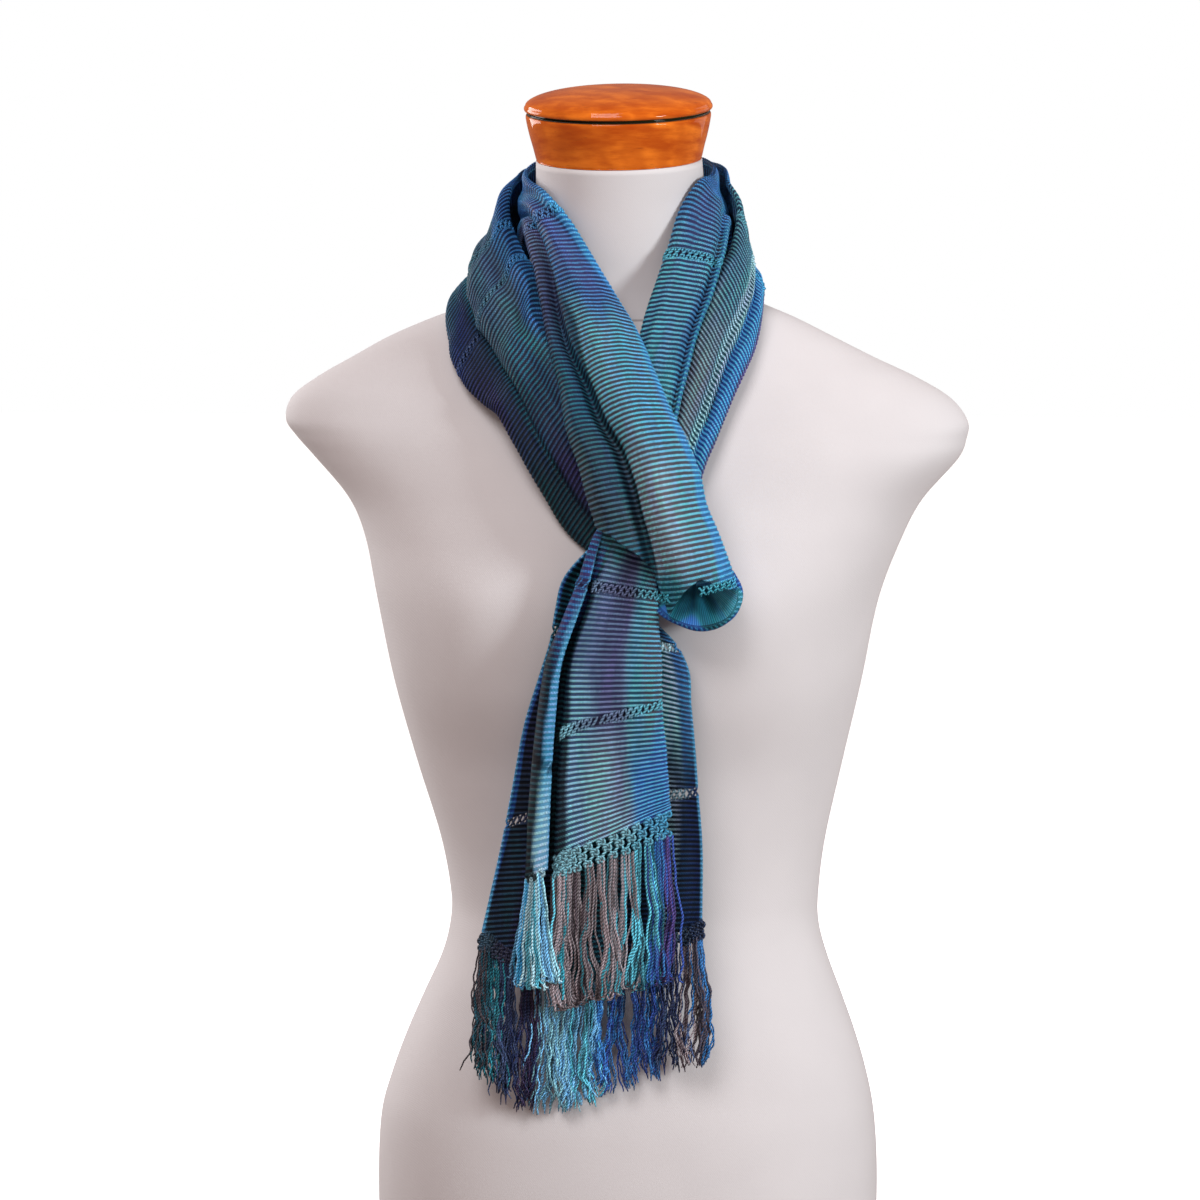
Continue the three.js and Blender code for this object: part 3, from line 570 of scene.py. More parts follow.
BACK_DYES_AND_SHADE = [
    (-2, 45, -1, 2, 1, 0.1, "teal", "slate", 1),
    (-1, 5, -1, 2, 1.5, 0.1, "pine", "black", 0.85),
    (1.5, 6.5, 0.35, 0.8, 1.5, 0.14, "purple", "plum", 0.6),
    (5.5, 9.6, 0.3, 0.55, 1.6, 0.14, "pine", "plum", 0.75),
    (5.5, 9, 0.5, 0.7, 1.6, 0.12, "petrol", "plum", 0.75),
    (7.5, 13.5, 0.4, 0.78, 1.2, 0.1, "murk", "slate", 0.8),
    (8.5, 11.5, 0.4, 0.58, 1.4, 0.12, "denim", "navy", 0.7),
    (7, 13.5, 0.74, 2, 1.2, 0.08, "blue", "navy", 0.85),
    (9.5, 12, 0.6, 0.72, 0.9, 0.1, "dusk", "purple", 0.35),
    (4.5, 13.5, -1, 0.3, 1.6, 0.08, "denim", "black", 0.9),
    (9.5, 13.5, -1, 0.26, 1.6, 0.08, "royal", "navy", 0.75),
    (6.2, 9, 0.02, 0.2, 1.4, 0.08, "purple", "black", 0.6),
    (11, 15, -1, 0.42, 1.5, 0.1, "teal", "slate", 0.8),
    (13.2, 19.4, -1, 2, 1, 0.1, "blue", "navy", 0.85),
    (14.5, 18, 0.35, 0.65, 1, 0.12, "purple", "plum", 0.6),
    (19, 29.5, 0.55, 2, 1, 0.06, "grey", "slate", 0.85),
    (19, 22.5, 0.5, 2, 1.5, 0.06, "teal", "navy", 0.6),
    (24, 29.5, 0.6, 0.95, 1.2, 0.1, "grey", "brown", 0.6),
    (19, 29.5, 0.38, 0.54, 1, 0.03, "pale", "deep teal", 0.85),
    (19, 29.5, 0.16, 0.36, 1, 0.03, "bright", "royal", 0.9),
    (25.5, 29.5, 0.2, 0.42, 1, 0.05, "turquoise", "royal", 0.6),
    (19, 29.5, -1, 0.15, 1, 0.03, "mauve", "purple", 0.9),
    (29, 35.5, 0.08, 0.34, 1, 0.06, "pale", "deep teal", 0.95),
    (29, 41, -1, 0.08, 1, 0.04, "blue", "denim", 0.8),
    (35, 41, -1, 0.4, 1, 0.08, "navy", "black", 0.92),
    (35.4, 38.4, 0.12, 0.2, 0.6, 0.04, "grey", "black", 0.85),
    # the free side of the back end, behind the front end: near-black, partly its dark dyes and partly
    # painted shade (this band and the next four)
    (30, 41, 0.62, 2, 1, 0.06, "deep teal", "black", 0.95),
    (33.5, 37.5, 0.72, 0.86, 1, 0.08, "purple", "plum", 0.5),
    (36.5, 40, 0.7, 0.97, 0.8, 0.08, "teal", "black", 0.7),
    (37, 39, 0.74, 0.86, 0.8, 0.06, "purple", "black", 0.7),
    (33, 41, 0.62, 2, 1, 0.06, "plum", "black", 0.7),
    (30, 41, 0.978, 2, 1, 0.008, "blue", "royal", 0.8),
    # painted shade: the left-facing folds from row 4.5 to 14, darkened further
    (5, 13.5, 0.3, 0.74, 1.5, 0.06, "petrol", "black", 0.4),
    (4.5, 14, -1, 0.3, 1.5, 0.06, "navy", "black", 0.55),
]
TURN_DYES_AND_SHADE = [
    (-2, 9, -1, 2, 1, 0.1, "well", "deep teal", 1),
    # painted shade: the mouth darkens deep in the hollow, towards its heart
    (-2, 0.28, 0.4, 2, 0.3, 0.2, "deep teal", "black", 0.9),
    (0.1, 1, 0.55, 2, 0.3, 0.2, "deep teal", "black", 0.7),
    (-1, 1.2, -1, 0.42, 0.4, 0.25, "turquoise", "teal", 0.7),
    (1.15, 9, -1, 2, 0.2, 0.1, "blue", "royal", 0.95),
]
# dyes of the fringes: from which share across, counted from the viewer's right, light dye, dark dye
FRONT_YARNS = [
    (0.0, "royal", "purple"), (0.1, "blue", "royal"), (0.17, "turquoise", "deep teal"),
    (0.3, "taupe", "turquoise"), (0.42, "taupe", "taupe"), (0.5, "teal", "taupe"),
    (0.58, "taupe", "brown"), (0.7, "taupe", "teal"), (0.78, "taupe", "taupe"),
    (0.88, "turquoise", "taupe"), (0.94, "brown", "taupe"),
]
SIDE_YARNS = [(0.0, "sky", "bright"), (0.4, "pale", "turquoise"), (0.8, "mist", "sky")]
BACK_YARNS = [
    (0.0, "brown", "blue"), (0.07, "taupe", "brown"), (0.12, "denim", "navy"), (0.2, "blue", "royal"),
    (0.38, "sky", "turquoise"), (0.5, "mist", "sky"), (0.63, "plum", "navy"), (0.74, "navy", "denim"),
    (0.83, "teal", "deep teal"), (0.92, "deep teal", "brown"),
]


def dyes_with_painted_shade(bands, v, c):
    """Light and dark colour at row v and share c across, from dyes and from painted shade where a band
    paints it, with the edges of the bands wandering a little.
    """
    tint = np.zeros(v.shape + (3,))
    shade = np.zeros(v.shape + (3,))
    wander = 0.35 * np.sin(9 * c + 0.8 * v) + 0.25 * np.sin(23 * c - 1.3 * v)
    sway = 0.012 * np.sin(1.1 * v) + 0.006 * np.sin(2.7 * v + 4)
    for v0, v1, c0, c1, sv, sc, light, dark, strength in bands:
        w = step(v + wander, v0 - sv / 2, v0 + sv / 2) * (1 - step(v + wander, v1 - sv / 2, v1 + sv / 2))
        w = w * step(c + sway, c0 - sc / 2, c0 + sc / 2) * (1 - step(c + sway, c1 - sc / 2, c1 + sc / 2))
        w = (w * strength)[..., None]
        tint = tint * (1 - w) + DYES[light] * w
        shade = shade * (1 - w) + DYES[dark] * w
    edge = np.maximum(1 - step(c, 0.006, 0.014), step(c, 0.986, 0.994))[..., None] * 0.85
    return tint * (1 - edge) + DYES["selvage"] * edge, shade * (1 - edge) + DYES["selvage"] * edge * 0.8


# Small folds that the CAD solids leave out
def relief(c, s, seed):
    """Height in mm at share c across and length s along: long folds, finer ones and puckers."""
    long = 0.75 * np.sin(2 * np.pi * (3.1 * c + s / 310 + seed))
    long = long * (0.6 + 0.4 * np.sin(s / 61 + seed))
    fine = 0.32 * np.sin(2 * np.pi * (7.3 * c - s / 190 + 2.3 * seed))
    fine = fine * (0.5 + 0.5 * np.sin(s / 37 + 5 * c))
    pucker = 0.16 * np.sin(s / 5.3 + 17 * c + seed) * np.sin(11 * c + s / 23)
    return (long + fine + pucker) * step(c, 0, 0.05) * (1 - step(c, 0.95, 1))


# Materials
BEAD, PLY_TWIST = 1.45, 3.1  # width of a warp thread in mm, turn of the ply in radians per mm
WALE, COURSE = 0.0011, 0.0009  # pitch of the knit in metres


class Nodes:
    """The nodes of a material or world."""

    def __init__(self, owner, shader="Principled BSDF"):
        owner.use_nodes = True
        self.owner, self.tree = owner, owner.node_tree
        self.shader = self.tree.nodes[shader]

    def add(self, kind, inputs=(), **settings):
        node = self.tree.nodes.new(kind)
        for key, value in settings.items():
            setattr(node, key, value)
        for key, value in dict(inputs).items():
            self.set(node, key, value)
        return node

    def set(self, node, key, value):
        if isinstance(value, bpy.types.NodeSocket):
            self.tree.links.new(value, node.inputs[key])
        else:
            node.inputs[key].default_value = value

    def math(self, op, a, b=0.0, c=0.0):
        return self.add("ShaderNodeMath", {0: a, 1: b, 2: c}, operation=op).outputs[0]

    def times(self, a, b):
        return self.math("MULTIPLY", a, b)

    def plus(self, a, b):
        return self.math("ADD", a, b)

    def ramp(self, x, a, b, low=0.0, high=1.0):
        return self.add("ShaderNodeMapRange", {0: x, 1: a, 2: b, 3: low, 4: high},
                        interpolation_type="SMOOTHSTEP").outputs[0]

    def attribute(self, name, socket="Color"):
        return self.add("ShaderNodeAttribute", attribute_name=name).outputs[socket]

    def noise(self, vector, scale, detail=3.0, rough=0.55):
        return self.add("ShaderNodeTexNoise", {"Vector": vector, "Scale": scale, "Detail": detail,
                                               "Roughness": rough}).outputs["Fac"]

    def combine(self, x, y, z=0.0):
        return self.add("ShaderNodeCombineXYZ", {0: x, 1: y, 2: z}).outputs[0]

    def mix(self, a, b, share, blend="MIX"):
        node = self.add("ShaderNodeMix", data_type="RGBA", blend_type=blend)
        self.set(node, 0, share)
        self.set(node, 6, a)
        self.set(node, 7, b)
        return node.outputs[2]

    def scale(self, colour, factor):
        node = self.add("ShaderNodeVectorMath", operation="SCALE")
        self.set(node, 0, colour)
        self.set(node, "Scale", factor)
        return node.outputs[0]

    def bump(self, height, strength, distance):
        sockets = {"Strength": strength, "Distance": distance, "Height": height}
        return self.add("ShaderNodeBump", sockets).outputs[0]

    def done(self, **sockets):
        for key, value in sockets.items():
            self.set(self.shader, key.replace("_", " "), value)
        return self.owner


def woven_material():
    n = Nodes(bpy.data.materials.new("woven_rayon"))
    weave = n.add("ShaderNodeSeparateXYZ", {0: n.attribute("weave", "Vector")})
    across, along = weave.outputs[0], weave.outputs[1]

    def speckle(by_across, by_along, detail, rough=0.55):
        place = n.combine(n.times(across, by_across), n.times(along, by_along))
        return n.noise(place, 1.0, detail, rough)

    wobble = n.times(n.math("SUBTRACT", speckle(0.35, 0.12, 2.0), 0.5), 1.1)
    turn = n.plus(n.times(along, 2 * math.pi / RIB), wobble)
    rib = n.ramp(n.math("COSINE", turn), -0.12, 0.5)
    # warp threads, seen as small beads on each rib, every second rib shifted by half a bead
    odd = n.math("FLOORED_MODULO", n.math("FLOOR", n.math("DIVIDE", along, RIB)), 2.0)
    thread = n.plus(n.times(across, 2 * math.pi / BEAD), n.times(odd, math.pi))
    bead = n.ramp(n.math("SINE", thread), -0.75, 0.35)
    fleck = speckle(1.3, 0.07, 4.0, 0.7)
    fibre = speckle(2.2, 0.9, 3.0, 0.7)
    cloud = speckle(0.13, 0.022, 3.0, 0.6)
    tinted = n.mix((0.85, 1.08, 0.98, 1), (1.1, 0.9, 1.1, 1), n.ramp(cloud, 0.34, 0.66))
    light = n.mix(n.attribute("tint"), tinted, 1.0, "MULTIPLY")
    light = n.scale(light, n.ramp(fleck, 0.25, 0.75, 0.9, 2.2))
    dark = n.scale(n.attribute("shade"), n.ramp(fibre, 0.3, 0.7, 0.5, 1.25))
    light = n.mix(dark, light, n.ramp(bead, 0, 1, 0.42, 1.0))
    between = n.ramp(n.math("SINE", n.plus(thread, math.pi)), 0.2, 0.9, 0.0, 0.3)
    colour = n.mix(n.mix(dark, light, between), light, rib)
    brightness = n.add("ShaderNodeSeparateXYZ", {0: n.attribute("tint")}).outputs[1]
    # painted highlight: a pale sparkle on the warp beads of the light ribs, stronger on bright dyes
    painted_shine = n.times(rib, n.ramp(brightness, 0.04, 0.3, 0.02, 0.6))
    painted_sparkle = n.times(n.times(n.ramp(fibre, 0.48, 0.7), bead), painted_shine)
    colour = n.mix(colour, (0.62, 0.82, 0.88, 1), painted_sparkle)
    height = n.plus(n.times(rib, 0.5), n.times(bead, n.times(rib, 0.4)))
    height = n.plus(height, n.times(fibre, 0.35))
    return n.done(Base_Color=colour, Roughness=n.ramp(fibre, 0.2, 0.8, 0.6, 0.44),
                  Specular_IOR_Level=0.14, Normal=n.bump(height, 0.8, 0.0005))


def yarn_material():
    n = Nodes(bpy.data.materials.new("rayon_yarn"))
    x, along, y = n.add("ShaderNodeSeparateXYZ", {0: n.attribute("weave", "Vector")}).outputs
    angle = n.math("ARCTAN2", y, x)
    ply = n.math("SINE", n.plus(n.times(angle, 2.0), n.times(along, PLY_TWIST)))
    strand = n.ramp(ply, -0.9, 0.6)
    fibre = n.noise(n.combine(n.times(angle, 1.5), along), 1.6, 3.0, 0.7)
    light = n.scale(n.attribute("tint"), n.ramp(fibre, 0.25, 0.75, 1.0, 2.1))
    # where the plies meet, the dark dye at a third of its strength: partly the yarn's dark dye, partly
    # painted shade between the plies
    colour = n.mix(n.scale(n.attribute("shade"), 0.35), light, n.ramp(strand, 0, 1, 0.22, 1))
    # painted highlight: a pale sheen on the plies' crests
    painted_shine = n.times(n.times(n.ramp(fibre, 0.5, 0.75), strand), 0.3)
    colour = n.mix(colour, (0.7, 0.82, 0.86, 1), painted_shine)
    return n.done(Base_Color=colour, Roughness=0.45, Specular_IOR_Level=0.2,
                  Normal=n.bump(n.plus(strand, n.times(fibre, 0.4)), 0.7, 0.0004))


def jersey_material():
    n = Nodes(bpy.data.materials.new("stretch_jersey"))
    place = n.add("ShaderNodeTexCoord").outputs["Object"]
    x, y, z = n.add("ShaderNodeSeparateXYZ", {0: place}).outputs
    stitches = lambda at, pitch: n.math("SINE", n.times(at, 2 * math.pi / pitch))
    knit = n.times(stitches(n.plus(x, n.times(y, 0.35)), WALE), stitches(z, COURSE))
    cloudy = n.ramp(n.noise(place, 9.0, 3.0), 0.3, 0.7)
    fuzz = n.noise(place, 900.0, 2.0, 0.6)
    base = n.mix((0.60, 0.59, 0.605, 1), (0.64, 0.63, 0.645, 1), cloudy)
    base = n.mix(base, (0.52, 0.49, 0.5, 1), n.ramp(knit, 0.2, 1.0, 0.0, 0.22))
    # the seam of the cover round the foot of the neck, on a slanting level
    level = n.math("SUBTRACT", z, n.math("MULTIPLY_ADD", y, 0.26, 0.5845))
    seam = n.ramp(n.math("ABSOLUTE", level), 0.0, 0.0011, 1.0, 0.0)
    base = n.mix(base, (0.15, 0.12, 0.115, 1), n.times(seam, 0.55))
    height = n.math("SUBTRACT", n.plus(n.times(knit, 0.5), fuzz), n.times(seam, 3.0))
    return n.done(Base_Color=base, Roughness=0.86, Sheen_Weight=0.12, Sheen_Roughness=0.5,
                  Sheen_Tint=(1, 0.97, 0.95, 1), Specular_IOR_Level=0.3,
                  Normal=n.bump(height, 0.25, 0.0003))


def wood_material():
    n = Nodes(bpy.data.materials.new("lacquered_wood"))
    place = n.add("ShaderNodeTexCoord").outputs["Object"]

    def streaks(scale, rotation, detail, rough):
        sockets = {"Vector": place, "Scale": scale, "Rotation": rotation}
        return n.noise(n.add("ShaderNodeMapping", sockets).outputs[0], 1.0, detail, rough)

    grain = streaks((30, 30, 150), (0.16, 0.05, 0), 5.0, 0.6)
    pore = streaks((90, 90, 900), (0, 0, 0), 4.0, 0.7)
    sockets = {"Vector": place, "Scale": 26.0, "Distortion": 7.0, "Detail": 3.0, "Detail Scale": 1.4}
    figure = n.add("ShaderNodeTexWave", sockets, wave_type="BANDS", bands_direction="DIAGONAL")
    base = n.mix((0.44, 0.062, 0.002, 1), (0.82, 0.2, 0.014, 1), n.ramp(grain, 0.3, 0.7))
    base = n.mix(base, (0.48, 0.08, 0.004, 1), n.times(figure.outputs["Fac"], 0.5))
    base = n.mix(base, (0.07, 0.016, 0.004, 1), n.ramp(pore, 0.6, 0.75, 0, 0.35))
    base = n.mix(base, (0.022, 0.022, 0.007, 1), n.attribute("groove", "Fac"))
    return n.done(Base_Color=base, Roughness=0.6, Specular_IOR_Level=0.0, Coat_Weight=0.5,
                  Coat_Roughness=0.04, Normal=n.bump(pore, 0.08, 0.0003))


WOVEN, YARN = woven_material(), yarn_material()
JERSEY, WOOD = jersey_material(), wood_material()


# The dress form
def form_rings(sides):
    angle = 2 * np.pi * np.arange(sides) / sides
    rings = []
    for z, half, shift, front, back, square in FORM_ROWS:
        power = lambda value: np.sign(value) * np.abs(value) ** (2 / square)
        x = half * power(np.cos(angle))
        y = power(np.sin(angle)) * np.where(np.sin(angle) < 0, front, back)
        bust = sum(BUST_HEIGHT * np.exp(-((x - at) ** 2 + (z - BUST_Z) ** 2) / (2 * BUST_SPREAD**2))
                   for at in (-BUST_X, BUST_X))
        y = y - np.where(y < 0, bust * np.minimum(1, -y / (front * 0.5)), 0)
        rings.append(np.stack([x + shift, y, np.full(sides, z)], 1))
    x, y = NECK_RADIUS * np.cos(angle), NECK_RADIUS * np.sin(angle)
    rings.append(np.stack([x, y * math.cos(NECK_TILT), y * math.sin(NECK_TILT)], 1) + NECK_TOP)
    return np.array(rings, float)


def dress_form():
    rings = form_rings(FORM_SIDES)
    grid = smooth(rings, np.linspace(0, len(rings) - 1, (len(rings) - 1) * 7 + 1))
    grid[:, :, 2] = np.maximum(grid[:, :, 2], 0)
    low, top = grid[0].mean(0), grid[-1].mean(0)
    foot = [low + (grid[0] - low) * k + (0, 0, h) for k, h in ((0.985, 0), (0.996, 0.5))]
    head = [top + (grid[-1] - top) * k for k in (0.985, 0.6)]
    grid[0, :, 2] = 1.6
    grid = np.concatenate([foot, grid, head])
    verts = np.concatenate([grid.reshape(-1, 3), [low, top]])
    stand_in(build("form_jersey", verts, stacked(len(grid), FORM_SIDES), [JERSEY]), "dress_form")


# The turned wooden neck cap
def turned(name, profile, node, height):
    """profile: radius, height, share of the dark groove."""
    profile = np.array(profile, float)
    fine = smooth(profile, np.linspace(0, len(profile) - 1, (len(profile) - 1) * 3 + 1))
    fine[:, 0] = np.maximum(fine[:, 0], 0)
    radius, level, dark = fine[1:-1].T[..., None]
    angle = 2 * np.pi * np.arange(CAP_SIDES) / CAP_SIDES
    rings = np.stack([radius * np.cos(angle), radius * np.sin(angle), level + 0 * angle], -1)
    verts = np.concatenate([rings.reshape(-1, 3), [[0, 0, fine[0, 1]], [0, 0, fine[-1, 1]]]])
    groove = np.concatenate([np.repeat(np.clip(dark, 0, 1), CAP_SIDES), [0, 0]])
    x, y, z = verts.T
    z = z + height
    c, s = math.cos(NECK_TILT), math.sin(NECK_TILT)
    verts = np.stack([x, y * c - z * s, y * s + z * c], 1) + NECK_TOP
    obj = build(name, verts, stacked(len(rings), CAP_SIDES), [WOOD], [("groove", groove)])
    stand_in(obj, node)


def neck_cap():
    turned("cap_collar_turned", [
        (0, 0, 0), (30, 0, 0), (45.8, 0, 0), (46.9, 0.3, 0), (47.5, 1.2, 0), (48.2, 4, 0), (49.3, 8.5, 0),
        (50.6, 13.2, 0), (51.8, 18.4, 0), (52.6, 22.5, 0), (52.9, 24.9, 0), (52.7, 26, 0.1),
        (51.9, 26.5, 0.9), (50.5, 26.5, 1), (30, 26.5, 1), (0, 26.5, 1)], "cap_collar", 0.3)
    dome = [(53.2 * math.cos(a) ** 0.8, 4.4 + 9.5 * math.sin(a) ** 1.1, 0)
            for a in [math.pi / 2 * k / 9 for k in range(1, 9)]]
    turned("cap_lid_turned", [
        (0, 0, 1), (30, 0, 1), (50.2, 0, 1), (50.5, 0.5, 1), (50.6, 1.2, 1), (52.2, 1.4, 0.8),
        (53.3, 1.6, 0.2), (53.8, 2.6, 0), (53.7, 3.6, 0), (53.2, 4.4, 0), *dome, (0, 13.9, 0)],
        "cap_lid", 27.1)


# The scarf
TWIST_PITCH, TWIST_RADIUS, LINK_RADIUS, KNOT_RADIUS = 3.5, 0.7, 0.8, 1.1


def hooks(parts, cloth, low, high, bands, seed, start=0.0, end=1.0, lift=-CLOTH / 2):
    """An openwork row: twisted pairs of yarn between two woven bands.

    low and high are rows at even places across the cloth, start and end shares across it.
    """
    places = np.linspace(0, 1, len(low))
    u = np.linspace(start, end, 161)
    line = cloth.point(u, np.interp(u, places, low))
    gone = np.concatenate([[0], np.cumsum(np.linalg.norm(np.diff(line, axis=0), axis=-1))])
    count = max(2, int(gone[-1] / TWIST_PITCH))
    t = np.linspace(0, 1, 9)
    base = (np.arange(count) + 0.5) / count * gone[-1]
    for lean, out in ((1.35, 0.55), (-1.35, -0.15)):
        swing = lean * np.sin(np.pi * (t - 0.5))
        at = base[:, None] + swing[None, :] + 0.25 * np.sin(base * 3 + seed)[:, None]
        at = np.interp(at, gone, u)
        v0, v1 = np.interp(at, places, low), np.interp(at, places, high)
        v = v0 + (v1 - v0) * (-0.12 + 1.24 * t[None, :])
        depth = lift + out * np.sin(np.pi * t)[None, :, None]
        path = cloth.point(at, v) + cloth.normal(at, v) * depth
        tint, shade = dyes_with_painted_shade(bands, v, at)
        tubes(parts, path, TWIST_RADIUS, tint * 1.1, shade, sides=5)


def rows_at(value, u):
    """value is one row for all of u, or rows at even places across the cloth."""
    return straight(value, u * (len(value) - 1)) if np.ndim(value) else np.full(len(u), float(value))


def stretch(name, cloth, bands, seed, first, last, node, relief_share=1.0, loops=(), turned=False):
    """One stretch of a half of the scarf, first and last a row or a table of rows across it."""
    u = np.linspace(0, 1, COLUMNS + 1)
    lo, hi = rows_at(first, u), rows_at(last, u)
    s_lo, s_hi = cloth.along(lo), cloth.along(hi)
    found = [(cloth.along(straight((left, right), u)), through) for left, right, through in cloth.open
             if lo.max() + 0.15 < min(left, right) and max(left, right) < hi.min() - 0.15]
    cuts, sunk = ([(s - OPENWORK / 2, s + OPENWORK / 2) for s, through in found if through == kind]
                  for kind in (True, False))
    starts, ends = [s_lo] + [b for _, b in cuts], [a for a, _ in cuts] + [s_hi]
    parts = Parts()
    area = 0.0
    for a, b in zip(starts, ends):
        rows = max(4, int(round((b - a).mean() / (RIB / RIB_ROWS))))
        s = a[None, :] + (b - a)[None, :] * np.linspace(0, 1, rows + 1)[:, None]
        v = cloth.row(s)
        uu = np.broadcast_to(u[None, :], v.shape)
        base = cloth.point(uu, v)
        gaps = np.linalg.norm(np.diff(base, axis=1), axis=-1)
        gone = np.concatenate([np.zeros((len(base), 1)), np.cumsum(gaps, 1)], 1)
        c = gone / gone[:, -1:]
        area += gaps.sum(1).mean() * (b - a).mean()
        normal = cloth.normal(uu, v)
        base = base + normal * (relief(c, s, seed) * relief_share)[..., None]
        dip = np.zeros_like(s)
        for low, high in sunk:
            dip = dip + step(s, low - 0.4, low + 0.3) * (1 - step(s, high - 0.3, high + 0.4))
        raised = 0 * s if turned else RIB_HEIGHT * np.cos(2 * np.pi * s / RIB)
        outer = base + normal * (raised * (1 - dip) - 0.85 * dip)[..., None]
        tint, shade = dyes_with_painted_shade(bands, v, c)
        # painted shade: the sunk rows take the dark dye, dimmed, in the groove behind the hooks
        tint = tint + (shade * 0.35 - tint) * dip[..., None]
        shade = shade * (1 - 0.65 * dip)[..., None]
        places = gone - gone[:, -1:] / 2, s
        if turned:
            # the loop's mouth is plain inside, and its ribs cross its lip
            lip, round_rim = step(v, 0.98, 1.06), c * gone.max()
            places = round_rim + (s - round_rim) * lip, round_rim * lip
        weave = np.stack([*places, np.zeros_like(s)], -1)
        shell(parts, outer, base - normal * CLOTH, tint, shade, weave)
    for k, (a, b) in enumerate(cuts + sunk):
        hooks(parts, cloth, cloth.row(a), cloth.row(b), bands, seed + k)
    area += sum(OPENWORK * gone[0, -1] for _ in cuts)
    for k, (v, start, end) in enumerate(loops):
        low, high = (np.full(2, cloth.row(cloth.along(v) + d)) for d in (0, 4))
        hooks(parts, cloth, low, high, bands, seed + 3 + k, start, end, lift=0.35)
    length = float((s_hi - s_lo).mean())
    return stand_in(parts.object(name), node), (area / length, length)


def wavy(base, falls, rng, lean, curl, bundle, crinkle, stations):
    """Paths of yarns that hang from base (k, 3) by falls (k,), in bundles that wave together."""
    k = len(base)
    down = np.linspace(0, 1, stations)[None, :]
    phase = rng.uniform(0, 2 * np.pi, (bundle.max() + 1, 4))[bundle] + rng.normal(0, 0.6, (k, 4))
    swing = rng.uniform(0.5, 1.0, (k, 2)) * curl
    wave = lambda turns, column: np.sin(2 * np.pi * turns * down + phase[:, column:column + 1])
    x = base[:, :1] + lean[:, None] * down + swing[:, :1] * wave(1.1, 0) * down**0.8
    x = x + 0.45 * swing[:, 1:] * wave(3.1, 1) * down + crinkle * wave(6.5, 3) * down**0.4
    y = base[:, 1:2] + 0.8 * swing[:, 1:] * wave(0.9, 2) * down
    y = y + crinkle * wave(5.7, 1) * down**0.4 - 0.4 * down
    z = base[:, 2:3] - falls[:, None] * down
    return np.stack([x, y, z], -1)


def knots(parts, cloth, hem, start, end, columns, rows, bands, rng, pitch=4.1, first=1.6):
    """The knotted heading: rows of round knots with crossing links. Returns the lowest row's places."""
    slope = np.linalg.norm(cloth.middle(np.array(37.5)) - cloth.middle(np.array(36.5)))
    inside = lambda u, v: cloth.point(u, v) - cloth.normal(u, v) * (CLOTH * 0.5)
    sideways = lambda u, v: unit(cloth.point(u + 0.01, v) - cloth.point(u - 0.01, v))
    places = []
    for r in range(rows):
        k = np.arange(columns)
        u = start + (end - start) * np.clip((k + 0.25 + 0.5 * (r % 2)) / columns, 0, 1)
        v = rows_at(hem, u) + (first + r * pitch) / slope
        p = inside(u, v)
        places.append((p + rng.normal(0, 0.22, p.shape), u, v))
    t = np.linspace(0, 2 * np.pi, 13)
    for r, (p, u, v) in enumerate(places):
        tint, shade = (value[:, None] for value in dyes_with_painted_shade(bands, v, u))
        aside, out = sideways(u, v), cloth.normal(u, v)
        down = unit(np.cross(aside, out))
        for phase, tilt in ((0.0, 0.55), (1.6, -0.55)):
            ring = (aside[:, None] * (1.95 * np.cos(t + phase))[None, :, None]
                    + down[:, None] * (1.35 * np.sin(t + phase))[None, :, None]
                    + out[:, None] * (0.9 * np.sin(2 * t + phase) * tilt + 0.3)[None, :, None])
            tubes(parts, p[:, None] + ring, KNOT_RADIUS, tint * 0.62, shade * 0.5)
        if r:
            above = places[r - 1][0]
            for shift in (0, 1 if r % 2 else -1):
                other = above[np.clip(np.arange(columns) + shift, 0, columns - 1)]
                s = np.linspace(0, 1, 6)[None, :, None]
                path = other[:, None] * (1 - s) + p[:, None] * s + out[:, None] * 0.5 * np.sin(np.pi * s)
                tubes(parts, path, LINK_RADIUS, tint, shade)
    # the yarns that come out of the cloth into the first row
    top, u, v = places[0]
    s = np.linspace(0, 1, 4)[None, :, None]
    v = v - (first + 2.0) / slope
    tint, shade = (value[:, None] for value in dyes_with_painted_shade(bands, v, u))
    for off in (-0.9, 0.9):
        path = (inside(u, v) + sideways(u, v) * off)[:, None] * (1 - s) + top[:, None] * s
        tubes(parts, path, LINK_RADIUS, tint, shade)
    return places[-1][0]


def coloured(table, share, rng):
    """Light and dark dyes for yarns at their share across the fringe: (from share, light, dark)."""
    wander = rng.normal(0, 0.012, len(share))
    at = np.clip(np.searchsorted([row[0] for row in table], share + wander) - 1, 0, None)
    pair = rng.random(len(share)) < 0.45
    tint = np.array([DYES[table[i][2 if p else 1]] for i, p in zip(at, pair)])
    # the dark dye, dimmed, also carries the painted shade between the plies
    shade = np.array([DYES[table[i][2]] * 0.6 for i in at])
    vary = rng.uniform(0.45, 1.7, (len(share), 1))
    return tint * vary, shade * vary


